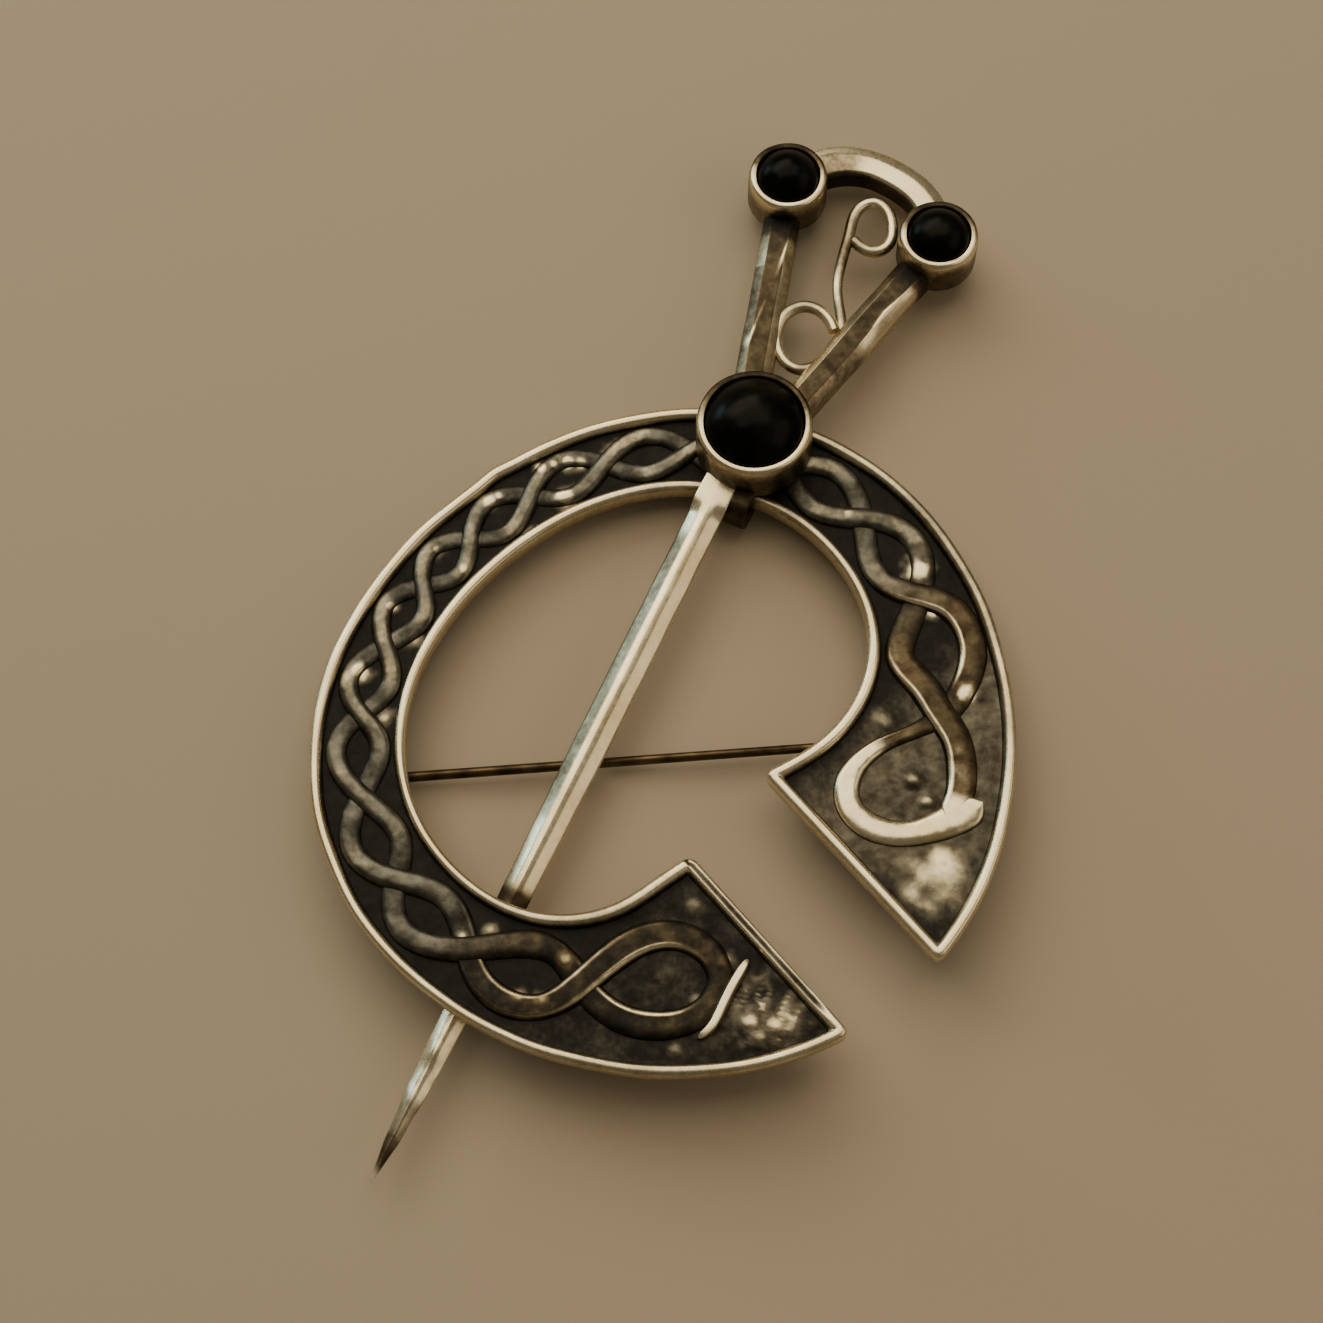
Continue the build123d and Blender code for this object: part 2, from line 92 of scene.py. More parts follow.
def tube(rings, wear=0.85, closed=False):
    """A closed shell from an array (stations, points round, 3); open ends get a flat face each."""
    stations, around, _ = rings.shape
    faces = grid_faces(stations, around, closed)
    if not closed:
        faces += [list(range(around)), list(range((stations - 1) * around, stations * around))]
    by_station = np.reshape(wear, (-1, 1)) if np.ndim(wear) == 1 else wear
    worn = np.array(np.broadcast_to(by_station, (stations, around)), float)
    return rings.reshape(-1, 3), faces, worn.ravel()


def make_piece(name, shells, material, node, sharp=40.0, brown=1.0):
    """Stacks shells into one mesh on the table, turns all faces outwards and hides the imported part it
    replaces.
    Brown says how warm the film on half-worn silver is: a number, or a function of the points."""
    starts = np.cumsum([0] + [len(points) for points, _, _ in shells])
    faces = [[number + start for number in face]
             for (_, made, _), start in zip(shells, starts) for face in made]
    mesh = bpy.data.meshes.new(name)
    stacked = np.vstack([points for points, _, _ in shells])
    mesh.from_pydata(on_table(stacked).tolist(), [], faces)
    warmth = np.broadcast_to(brown(stacked) if callable(brown) else brown, len(stacked))
    for value, numbers in (("wear", np.concatenate([worn for _, _, worn in shells])), ("brown", warmth)):
        mesh.attributes.new(value, "FLOAT", "POINT").data.foreach_set("value", numbers.astype(np.float32))
    work = bmesh.new()
    work.from_mesh(mesh)
    bmesh.ops.recalc_face_normals(work, faces=work.faces)
    work.to_mesh(mesh)
    work.free()
    mesh.shade_smooth()
    mesh.set_sharp_from_angle(angle=radians(sharp))
    mesh.materials.append(material)
    piece = bpy.data.objects.new(name, mesh)
    bpy.context.scene.collection.objects.link(piece)
    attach(piece, "brooch")
    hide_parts(node)
    print(f"{name}: {len(mesh.vertices)} points, {len(mesh.polygons)} faces")


# %% [markdown]
# ## Smooth curves and smooth lumps
# Hand-cast work has no straight lines. Two helpers give the soft shapes: a cubic curve through a few
# measured points, and lumps, which are values on a square lattice blended into each other.

# %% Curves
def ways(points):
    """The way along a row of points to each of them, in straight steps."""
    return np.concatenate([[0], np.cumsum(np.linalg.norm(np.diff(points, axis=0), axis=1))])


def unit(vectors):
    """Vectors brought to length 1."""
    return vectors / np.maximum(np.linalg.norm(vectors, axis=1), 1e-9)[:, None]


def circle(turns):
    """Points (cos, sin) of the unit circle."""
    return np.column_stack([np.cos(turns), np.sin(turns)])


def smooth(points, shares):
    """Cubic curve through points, read at shares of its length: the bends at the points solve the usual
    three-term equations and are zero at both ends. The length counts the first three columns."""
    points = np.asarray(points, float)
    knots = ways(points[:, :3])
    gap = np.diff(knots)
    slope = np.diff(points, axis=0) / gap[:, None]
    inner = np.arange(1, len(points) - 1)
    system = np.eye(len(points))
    system[inner, inner - 1] = gap[:-1]
    system[inner, inner] = 2 * (gap[:-1] + gap[1:])
    system[inner, inner + 1] = gap[1:]
    right = np.zeros_like(points)
    right[1:-1] = 6 * (slope[1:] - slope[:-1])
    bend = np.linalg.solve(system, right)
    way = np.asarray(shares, float) * knots[-1]
    row = np.clip(np.searchsorted(knots, way) - 1, 0, len(points) - 2)
    far = ((way - knots[row]) / gap[row])[:, None]
    near = 1 - far
    curved = (near**3 - near) * bend[row] + (far**3 - far) * bend[row + 1]
    return near * points[row] + far * points[row + 1] + curved * (gap[row] ** 2)[:, None] / 6


print("a curve's middle:", smooth([(0, 0), (1, 1), (2, 0)], [0.5])[0])


# %% Steps, bells, lumps and hills
def ease(value):
    """0 below 0, 1 above 1, and 3t² - 2t³ between."""
    t = np.clip(value, 0, 1)
    return t * t * (3 - 2 * t)


def bell(value, middle, reach):
    """exp(-((value - middle) / reach)²): 1 in the middle, nearly 0 two reaches away."""
    return np.exp(-(((value - middle) / reach) ** 2))


def lumps(x, y, pitch, seed):
    """Smooth lumps from -1 to 1: seeded values on a lattice of that pitch, blended over each square. With one
    number in place of x or y they run along a line."""
    lattice = np.random.default_rng(seed).uniform(-1, 1, (64, 64))
    column, row = np.asarray(x, float) / pitch, np.asarray(y, float) / pitch
    left, low = np.floor(column).astype(int), np.floor(row).astype(int)
    across, up = ease(column - left), ease(row - low)
    left, low = left % 64, low % 64
    right, high = (left + 1) % 64, (low + 1) % 64
    lower = lattice[low, left] * (1 - across) + lattice[low, right] * across
    upper = lattice[high, left] * (1 - across) + lattice[high, right] * across
    return lower * (1 - up) + upper * up


def hills(x, y, table):
    """Soft hills: for each row of X, Y, reach and strength, strength times exp(-u (distance / reach)²), where
    u is a lumpy value near 1 that makes their edges uneven. Gives the highest at each point."""
    top, uneven = np.zeros(np.shape(x)), 1 + 0.5 * lumps(x, y, 0.55, 25)
    for middle_x, middle_y, reach, strength in table:
        away = ((x - middle_x) ** 2 + (y - middle_y) ** 2) / reach**2
        top = np.maximum(top, strength * np.exp(-uneven * away))
    return top


print("a lump:", round(float(lumps(3.3, 4.7, 1.0, 1)), 3))

# %% [markdown]
# ## Sweeping a section, turning a profile
# The strands, the shaft, the legs, the top bar, the collar and the scroll's wire are all a section carried
# along a path. Each station has a place, a direction to its side and one upwards, and the section is scaled
# there to its own width and height. Its corners are eased with short curves, because polished silver has no
# knife edges. Cups and stones are turned instead: a profile of radius and height is carried round an
# upright axis.

# %% Sweeps and turned shapes
upwards = np.array([0.0, 0.0, 1.0])


def eased(corners, share=0.16, count=5):
    """A closed outline with its corners eased: each becomes a curve (1-t)² a + 2t(1-t) corner + t² b."""
    corners = np.asarray(corners, float)
    before = corners + (np.roll(corners, 1, 0) - corners) * share
    after = corners + (np.roll(corners, -1, 0) - corners) * share
    t = np.linspace(0, 1, count)[None, :, None]
    curves = (1 - t) ** 2 * before[:, None] + 2 * t * (1 - t) * corners[:, None] + t**2 * after[:, None]
    return curves.reshape(-1, 2)


def sweep(path, section, width=1.0, height=1.0, up=upwards, closed=False):
    """Stations of a section: path + side * across * width + up * high * height, side being run x up."""
    run = np.roll(path, -1, 0) - np.roll(path, 1, 0) if closed else np.gradient(path, axis=0)
    run = unit(run)
    side = unit(np.cross(run, np.broadcast_to(up, run.shape)))
    top = np.cross(side, run)
    wide = np.broadcast_to(width, len(path))[:, None] * section[:, 0]
    high = np.broadcast_to(height, len(path))[:, None] * section[:, 1]
    return path[:, None] + side[:, None] * wide[..., None] + top[:, None] * high[..., None]


def turned(profile, centre, steps=96, wave=0.0):
    """Rings of a profile: a radius r and a height h go to (r cos a, r sin a, h) round an upright axis. The wave
    lifts what is above half the height by wave (sin(3a + 0.6) + 0.6 sin(5a + 2))."""
    turn = np.linspace(0, 2 * pi, steps, endpoint=False)
    radius, height = profile[:, 0], profile[:, 1]
    upper = ease(2 * height / max(height.max(), 1e-6) - 1)
    lift = wave * np.outer(np.sin(3 * turn + 0.6) + 0.6 * np.sin(5 * turn + 2.0), upper)
    around = np.outer(np.cos(turn), radius), np.outer(np.sin(turn), radius)
    return centre + np.stack([*around, height + lift], -1)


round_wire = circle(np.linspace(0, 2 * pi, 24, endpoint=False))
print("eased square:", eased([(1, 1), (-1, 1), (-1, -1), (1, -1)]).shape)

# %% [markdown]
# ## Worn silver, black stone and tarnished wire
# The brooch is sterling silver, cast, dipped in liver of sulphur until it was black, and polished by hand:
# the crests come out bright and creamy, the sunk ground stays nearly black and dull. One material serves
# all of it. It reads the wear of each point, breaks it up with noise, and mixes black sulphide, a thin film
# and polished metal. A second value says how brown the film is, because it stayed grey in the hoop and
# browned where hands hold the brooch.

# %% Colours and nodes
def hex_linear(code):
    """A colour such as #DDD6C4 in linear light: the sRGB curve undone channel by channel."""
    channels = np.array([int(code[k : k + 2], 16) for k in (1, 3, 5)]) / 255
    linear = np.where(channels <= 0.04045, channels / 12.92, ((channels + 0.055) / 1.055) ** 2.4)
    return (*linear.tolist(), 1.0)


def connect(material, node, sockets):
    """Gives sockets of a node, by name or number, their values or the outputs that feed them."""
    for name, value in sockets.items():
        if isinstance(value, bpy.types.NodeSocket):
            material.node_tree.links.new(value, node.inputs[name])
        else:
            node.inputs[name].default_value = value


def add(material, kind, names=(), values=(), output=0, **settings):
    """Adds a node with its settings, connects the named sockets to the values, and gives one of its outputs."""
    made = material.node_tree.nodes.new("ShaderNode" + kind)
    for name, value in settings.items():
        setattr(made, name, value)
    connect(material, made, dict(zip(names, values)))
    return made.outputs[output]


def new_material(name):
    """An empty material with a Principled surface, and that surface's node."""
    material = bpy.data.materials.new(name)
    material.use_nodes = True
    return material, material.node_tree.nodes["Principled BSDF"]


# Sockets in the order in which the materials fill them. A noise's scale is 1 over its lumps' size in metres, a
# range goes from the first pair of limits to the second, and a mix takes a share and two colours.
NOISE, BUMP = ("Vector", "Scale", "Detail", "Roughness"), ("Height", "Strength", "Distance")
RANGE, MIX, SUM = ("Value", "From Min", "From Max", "To Min", "To Max"), (0, 6, 7), (0, 1)
print("a cream in linear light:", np.round(hex_linear("#F5E8C8"), 3))


# %% Blackened silver
def blackened_silver():
    """Cast silver, blackened and rubbed: dull black in the depths, a thin grey to brown film half way up and a
    creamy polish on the crests. The film's share is smoothstep of the wear from 0.06 to 0.42, the polish's from
    0.40 to 0.86, once lumps of noise have broken the wear up."""
    material, surface = new_material("blackened_cast_silver")
    place = add(material, "TexCoord", output="Object")
    worn, warmth = (add(material, "Attribute", output="Fac", attribute_name=name) for name in ("wear", "brown"))
    # Size in millimetres, detail and roughness of the noise. The grain of the casting is drawn a little coarse.
    blotches, specks, cloud, tarnish, pits, grain = (
        add(material, "TexNoise", NOISE, (place, 1 / (size * millimetre), detail, rough))
        for size, detail, rough in ((1.8, 3, 0.5), (0.4, 3, 0.5), (1.1, 3, 0.5), (3.5, 2, 0.5), (0.45, 2, 0.5),
                                    (0.14, 3, 0.6)))
    blotches, specks, cloud, tarnish, hollows = (
        add(material, "MapRange", RANGE, limits)
        for limits in ((blotches, 0.3, 0.7, -0.05, 0.05), (specks, 0.3, 0.7, -0.04, 0.04),
                       (cloud, 0.35, 0.65, 0, 1), (tarnish, 0.35, 0.7, 0, 1), (pits, 0.3, 0.7, -0.03, 0.04)))
    bright = add(material, "Math", SUM, (add(material, "Math", SUM, (worn, blotches)), specks))
    film, polish = (add(material, "MapRange", RANGE, (bright, low, high, 0, 1), interpolation_type="SMOOTHSTEP")
                    for low, high in ((0.06, 0.42), (0.40, 0.86)))
    sulphide, grey_film, brown_film, polished = (
        add(material, "Mix", MIX, (share, hex_linear(first), hex_linear(second)), 2, data_type="RGBA")
        for share, first, second in ((cloud, "#080706", "#16130E"), (cloud, "#4C4A42", "#706E66"),
                                     (cloud, "#42382B", "#625744"), (tarnish, "#F5E8C8", "#E0CFA9")))
    filmed = add(material, "Mix", MIX, (warmth, grey_film, brown_film), 2, data_type="RGBA")
    unpolished = add(material, "Mix", MIX, (film, sulphide, filmed), 2, data_type="RGBA")
    colour = add(material, "Mix", MIX, (polish, unpolished, polished), 2, data_type="RGBA")
    film_dull, polish_dull, strength, metal = (
        add(material, "MapRange", RANGE, (value, 0, 1, at_none, at_full))
        for value, at_none, at_full in ((film, 0.58, 0.40), (polish, 0.0, -0.14), (polish, 0.40, 0.05),
                                        (film, 0.6, 1.0)))
    dull = add(material, "Math", SUM, (add(material, "Math", SUM, (film_dull, polish_dull)), hollows))
    fine_grain = add(material, "Math", SUM, (grain, 0.3), operation="MULTIPLY")
    height = add(material, "Math", SUM, (fine_grain, pits))
    bump = add(material, "Bump", BUMP, (height, strength, 0.06 * millimetre))
    connect(material, surface, {"Base Color": colour, "Roughness": dull, "Metallic": metal, "Normal": bump})
    return material


silver = blackened_silver()
print("material:", silver.name)

# %% [markdown]
# ## The ring in plan
# The ring is wider at its two ends, the terminals. Its outer rim is a circle with two gentle waves, and the
# hole is a measured half outline that is mirrored. Both are worked out along and across the gap's axis, as
# in the maker's drawing, and turned into the brooch's plane at the end.

# %% The ring's outlines
ring_radius, ring_oval, ring_trefoil = 24.35, -0.016, 0.021
hole_radius, ring_thickness, rim_width, ground_depth = 18.4, 1.8, 0.9, 0.7
gap_direction, gap_width, gap_offset = -53.1, 7.65, -0.95
half_gap = (gap_width + rim_width) / 2
edge_right, edge_left = gap_offset + half_gap, gap_offset - half_gap
half_rim = rim_width / 2

# Half of the hole's outline, in shares of its radius: along the gap's axis, across it
HOLE = np.array([
    (-0.976, 0.000), (-0.908, 0.420), (-0.730, 0.730), (-0.445, 0.930), (-0.087, 0.976),
    (0.141, 0.912), (0.318, 0.768), (0.408, 0.590), (0.432, 0.420), (0.418, 0.265),
])
# Where the inner corners of the two terminals lie along the gap's axis
corner_right, corner_left = 0.388 * hole_radius, 0.450 * hole_radius


def in_plane(along, across):
    """Turns places along and across the gap's axis into the brooch's X and Y."""
    turn = radians(gap_direction)
    return np.stack([along * cos(turn) - across * sin(turn), along * sin(turn) + across * cos(turn)], -1)


def along_gap(x, y):
    """How far places in the brooch's plane lie along the gap's axis."""
    return x * cos(radians(gap_direction)) + y * sin(radians(gap_direction))


def outer_crest(angle):
    """Crest radius of the outer rim at an angle in degrees: the mean times 1 + oval cos 2a + trefoil cos 3a."""
    turn = np.radians(angle)
    return ring_radius * (1 + ring_oval * np.cos(2 * turn) + ring_trefoil * np.cos(3 * turn))


def inner_crest(angle):
    """Crest radius of the inner rim, read in a straight line between the rows of the hole's outline."""
    turn = np.abs((angle + 180) % 360 - 180)
    ways = np.degrees(np.arctan2(HOLE[:, 1], HOLE[:, 0]))[::-1]
    return np.interp(turn, ways, (hole_radius * np.hypot(HOLE[:, 0], HOLE[:, 1]))[::-1])


def hole_edge():
    """The plate's inner edge from the right terminal to the left: the crest moved half a rim into the hole."""
    half = HOLE[1:-1] * hole_radius
    crest = np.vstack([[corner_left, edge_left], half[::-1] * (1, -1), HOLE[:1] * hole_radius, half,
                       [corner_right, edge_right]])
    run = unit(crest[2:] - crest[:-2])
    moved = crest[1:-1] + np.stack([run[:, 1], -run[:, 0]], 1) * half_rim
    ends = [[corner_left - half_rim, edge_left + half_rim]], [[corner_right - half_rim, edge_right - half_rim]]
    return np.vstack([ends[0], moved, ends[1]])[::-1]


fine = np.linspace(0, 1, 4001)
inner_line = smooth(hole_edge(), fine)
start = degrees(asin((edge_right - half_rim) / ring_radius))
stop = 360 + degrees(asin((edge_left + half_rim) / ring_radius))
turns = start + (stop - start) * fine
# Filed by hand: the outer edge wanders by a twentieth of a millimetre, with one fuller place at the upper left
filed = 0.05 * lumps(turns, 0, 9.0, 3) + 0.16 * bell(turns, 171.5, 3.0)
outer_radius = outer_crest(turns) + half_rim + filed * ease((turns - start) / 15) * ease((stop - turns) / 15)
outer_line = outer_radius[:, None] * circle(np.radians(turns))
print("band's width, mm:", np.linalg.norm(outer_line - inner_line, axis=1)[::800].round(2))

# %% [markdown]
# ## The interlace
# Two strands swing from rim to rim and cross between the eyes, each over and then under the other, and
# close in a loop at each terminal. In the hoop a strand's middle line is a cosine between the eyes. In the
# terminals it follows measured points. Where it goes over, the strand rises, and where it goes under, it
# sinks, so taking the higher of the two everywhere makes each crossing by itself.

# %% The two strands' middle lines
eyes = np.array([36.0, 68.0, 88.5, 107.7, 125.5, 143.4, 160.0, 175.8,
                 190.2, 203.1, 218.6, 231.8, 250.2, 266.6, 288.3, 318.0])
strand_swing, strand_width, strand_growth = 0.265, 1.55, 0.8


def hoop_strand(steps, side):
    """X, Y, step and width of a strand: whole steps are eyes, and side times cos(pi step) is the swing."""
    angle = np.interp(steps, np.arange(len(eyes)), eyes)
    near = inner_crest(angle)
    band = outer_crest(angle) - near
    radius = near + band * (0.5 + strand_swing * side * np.cos(pi * steps))
    spot = in_plane(radius * np.cos(np.radians(angle)), radius * np.sin(np.radians(angle)))
    width = strand_width * (band / (ring_radius - hole_radius)) ** strand_growth
    return np.column_stack([spot, steps, width])


# X, Y, step, width in the right terminal, from the loop's foot to the first eye past it, and in the left one
long_start = [
    (18.9, -7.9, -0.9, 1.9), (19.9, -6.2, -0.5, 2.1), (20.3, -4.0, 0.0, 2.2), (20.1, -2.0, 0.25, 2.2),
    (19.2, 0.0, 0.5, 2.3), (18.2, 2.1, 0.75, 2.3),
]
long_end = [
    (-9.9, -18.9, 14.2, 1.9), (-8.0, -18.1, 14.4, 2.1), (-6.5, -17.0, 14.55, 2.2), (-5.0, -15.9, 14.7, 2.3),
    (-3.4, -15.0, 14.85, 2.3), (-1.7, -14.6, 15.0, 2.2), (0.1, -14.9, 15.2, 2.1), (1.5, -15.9, 15.4, 2.0),
    (2.2, -17.3, 15.6, 1.9), (2.1, -18.7, 15.8, 1.8), (1.5, -19.8, 16.0, 1.8),
]
loop_start = [
    (21.4, -6.9, -2.2, 2.2), (19.9, -7.6, -1.9, 2.5), (17.7, -8.4, -1.6, 2.1), (15.3, -8.6, -1.3, 1.9),
    (13.3, -7.8, -1.0, 2.0), (12.2, -6.4, -0.7, 1.9), (12.2, -4.7, -0.4, 1.8), (13.2, -3.2, -0.1, 1.5),
    (14.9, -2.1, 0.15, 1.2), (16.8, -1.4, 0.3, 1.1), (18.7, -0.6, 0.45, 1.5), (20.2, 0.5, 0.55, 1.9),
    (21.3, 2.1, 0.75, 2.0), (22.0, 4.0, 0.9, 2.1), (21.9, 5.9, 1.05, 2.1), (21.0, 7.7, 1.25, 2.1),
]
loop_end = [
    (-8.9, -15.2, 14.2, 1.9), (-7.9, -16.4, 14.4, 2.0), (-7.0, -17.9, 14.6, 2.0), (-5.9, -19.2, 14.8, 2.0),
    (-4.3, -20.3, 15.0, 2.1), (-2.4, -20.8, 15.2, 2.1), (-0.5, -20.7, 15.4, 2.0), (1.1, -19.9, 15.6, 1.9),
    (2.1, -18.5, 15.8, 1.8), (2.3, -17.2, 16.0, 1.7),
]
shares = np.linspace(0, 1, 1300)
hoop_steps = np.arange(1.0, 14.01, 0.25)
long_strand = smooth(np.vstack([long_start, hoop_strand(hoop_steps, 1), long_end]), shares)
loop_strand = smooth(np.vstack([loop_start, hoop_strand(hoop_steps[3:], -1), loop_end]), shares)
print("strands' lengths, mm:", [ways(strand[:, :2])[-1].round(1) for strand in (long_strand, loop_strand)])

# %% [markdown]
# ## The ring's face
# The face is a grid. Its rows follow the inner and the outer rim at fixed distances and share out the band
# between them; its columns do the same between the two sides of the gap. A corner's square cell is bent
# into a quarter circle, so the rims go round the corners of the terminals. Each point then gets a height
# and a wear value.

# %% The grid over the band
rim_rows = np.array([0, 0.05, 0.12, 0.21, 0.33, 0.45, 0.57, 0.68, 0.76, 0.83, 0.90, 0.97, 1.06, 1.20])
corner_radius = 0.83
cell = int(np.searchsorted(rim_rows, corner_radius)) + 1
band_rows, hoop_columns = 52, 760


def end_shares(line, edge, inward, part):
    """Shares of a line at which it is each of the rim rows' distances away from the edge of the gap."""
    piece = slice(0, 600) if part == "right" else slice(-600, None)
    across = (line[piece, 1] - edge) * inward
    order = np.argsort(across)
    return np.interp(rim_rows, across[order], fine[piece][order])


def columns_of(line):
    """Shares of a line for all columns: the rim rows of both ends and an even spread between them."""
    right = end_shares(line, edge_right - half_rim, 1, "right")
    left = end_shares(line, edge_left + half_rim, -1, "left")
    between = np.linspace(right[-1], left[-1], hoop_columns + 2)[1:-1]
    return np.concatenate([right, between, left[::-1]]), right, left


inner_share, inner_right, inner_left = columns_of(inner_line)
outer_share, outer_right, outer_left = columns_of(outer_line)
columns = len(inner_share)
rows = 2 * len(rim_rows) + band_rows
# Distance of each column from the nearer side of the gap, and from its left side; away from it a large number
far_off = 9.0
from_gap = np.tile(np.concatenate([rim_rows, np.full(hoop_columns, far_off), rim_rows[::-1]]), (rows, 1))
from_left_gap = np.where(np.arange(columns) > columns // 2, from_gap, far_off)


def read_line(line, share):
    """Points of a dense line at an array of shares."""
    return np.stack([np.interp(share, fine, line[:, k]) for k in (0, 1)], -1)


inner_points, outer_points = read_line(inner_line, inner_share), read_line(outer_line, outer_share)
width_here = np.linalg.norm(outer_points - inner_points, axis=1)
spread = np.linspace(0, 1, band_rows + 2)[1:-1, None]
middle_rows = rim_rows[-1] + spread * (width_here - 2 * rim_rows[-1])
inner_rows, outer_rows = np.repeat(rim_rows[:, None], columns, 1), width_here - rim_rows[::-1, None]
from_inner = np.vstack([inner_rows, middle_rows, outer_rows])
from_outer = width_here - from_inner
from_edge = np.minimum(np.minimum(from_inner, from_outer), from_gap)
print("grid:", rows, "rows,", columns, "columns")

# %% The grid's corners
# A point (p, q) of a cell, measured from the cell's inner corner, moves to (p, q) max(p, q) / hypot(p, q)
share_in, share_out = np.tile(inner_share, (rows, 1)), np.tile(outer_share, (rows, 1))
to_corner = np.maximum(corner_radius - rim_rows[:cell], 0)
for side_right in (True, False):
    for at_inner in (True, False):
        picked_rows = np.arange(cell) if at_inner else rows - 1 - np.arange(cell)
        picked_columns = np.arange(cell) if side_right else columns - 1 - np.arange(cell)
        block = np.ix_(picked_rows, picked_columns)
        p, q = np.meshgrid(to_corner, to_corner, indexing="ij")
        pull = np.maximum(p, q) / np.maximum(np.hypot(p, q), 1e-9)
        p_new = np.where(p > 0, corner_radius - p * pull, rim_rows[:cell, None])
        q_new = np.where(q > 0, corner_radius - q * pull, rim_rows[None, :cell])
        ends = (inner_right, outer_right) if side_right else (inner_left, outer_left)
        share_in[block] = np.interp(q_new, rim_rows, ends[0])
        share_out[block] = np.interp(q_new, rim_rows, ends[1])
        from_inner[block] = p_new if at_inner else width_here[picked_columns][None] - p_new
inner_spots, outer_spots = read_line(inner_line, share_in), read_line(outer_line, share_out)
run = outer_spots - inner_spots
spots = inner_spots + run * (from_inner / np.linalg.norm(run, axis=-1))[..., None]
face_xy = in_plane(spots[..., 0], spots[..., 1])
print("face grid:", face_xy.shape, "wear and height for each point")

# %% [markdown]
# ## Heights and wear
# The rims are rounded over like worn wire and fall steeply to the ground. The ground is rough as cast, most
# of all in the corners of the terminals, where the polishing cloth caught the tops of the roughness; their
# brightness is partly a painted reflection. A table lists the small places where the casting stands proud and
# is rubbed bright, and the glints on the strands, which are painted highlights; the bands read the same table
# later.

# %% Places that stand proud, and painted glints
# X, Y, reach, height, wear; where the wear marks a glint, on the strands and in the left terminal, it is a
# painted highlight
PROUD_SPOTS_AND_GLINTS = np.array([
    (16.75, -4.8, 0.70, 0.34, 0.62), (15.3, -5.3, 0.85, 0.16, 0.45), (15.1, -0.2, 0.90, 0.22, 0.52),
    (20.2, -3.0, 0.80, 0.10, 0.55), (17.6, -6.4, 0.55, 0.22, 0.66), (-1.5, -17.2, 0.90, 0.16, 0.30),
    (0.5, -19.2, 0.55, 0.10, 0.50), (-1.2, -22.6, 0.60, 0.16, 0.45), (4.05, -21.1, 0.85, 0.26, 0.74),
    (4.6, -22.0, 0.70, 0.20, 0.60), (5.7, -21.4, 0.95, 0.26, 0.78), (6.6, -21.9, 0.90, 0.16, 0.52),
    (2.9, -16.7, 0.65, 0.18, 0.52), (7.0, -20.4, 0.70, 0.14, 0.45), (0.9, -12.7, 0.80, 0.16, 0.42),
    (-6.3, 18.5, 0.85, 0.18, 1.00), (-7.9, 21.0, 0.55, 0.12, 0.95), (-6.9, 21.2, 0.45, 0.10, 0.85),
    (-5.9, 21.4, 0.60, 0.12, 0.95), (-4.9, 21.2, 0.55, 0.08, 0.80), (-11.8, 18.6, 0.65, 0.12, 0.95),
    (-11.1, 19.0, 0.42, 0.10, 0.80), (-15.8, 15.1, 0.50, 0.10, 0.78), (-19.2, 11.0, 0.52, 0.12, 0.90),
    (-21.6, 6.2, 0.75, 0.14, 1.00), (-13.9, 13.4, 0.52, 0.10, 0.76), (-15.2, -13.7, 0.55, 0.08, 0.72),
    (-13.2, -13.3, 0.55, 0.08, 0.66), (-8.2, -15.8, 0.65, 0.08, 0.60), (-9.9, -18.4, 0.60, 0.08, 0.62),
    (-11.5, -18.1, 0.50, 0.08, 0.70), (18.8, 10.9, 0.95, 0.16, 0.95), (21.3, 1.3, 0.90, 0.14, 1.00),
    (19.5, 7.6, 0.55, 0.10, 0.85), (14.2, 15.6, 0.60, 0.10, 0.66), (-8.9, 15.9, 0.60, 0.06, 0.60),
    (-2.5, 21.9, 0.90, 0.05, 0.55), (-17.6, 8.4, 0.70, 0.06, 0.60), (-20.0, 2.6, 0.70, 0.06, 0.60),
])
print("proud places:", len(PROUD_SPOTS_AND_GLINTS))

# %% The ground
x, y = face_xy[..., 0], face_xy[..., 1]


def patch(middle_x, middle_y, reach):
    """1 in the middle of a round patch, falling evenly to 0 at its reach."""
    return np.clip(1 - np.hypot(x - middle_x, y - middle_y) / reach, 0, 1)


right_patch, left_patch = patch(17.5, -12.2, 3.3), patch(5.2, -20.6, 3.6)
# Streaks run one way across the ground; ridges are the narrow crests where a long-drawn lump changes its sign
streaks = lumps(0.8 * x + 0.6 * y, 2.2 * (0.8 * y - 0.6 * x), 1.1, 22)
drawn = lumps(0.6 * (0.8 * x + 0.6 * y), 1.3 * (0.8 * x - 0.6 * y), 0.75, 24)
ridges = (1 - np.clip(2.2 * np.abs(drawn), 0, 1)) ** 2
# Rough corners of the terminals: the lumps are real, their brightness partly a painted reflection, most of all
# the soft light patch in the right terminal and the glints on the ridges in the left
rough = ease(2.0 * right_patch) * (0.55 + 0.45 * lumps(x, y, 1.3, 21))
rough = rough + ease(1.8 * left_patch) * (0.08 + 0.16 * streaks + 0.75 * ridges)
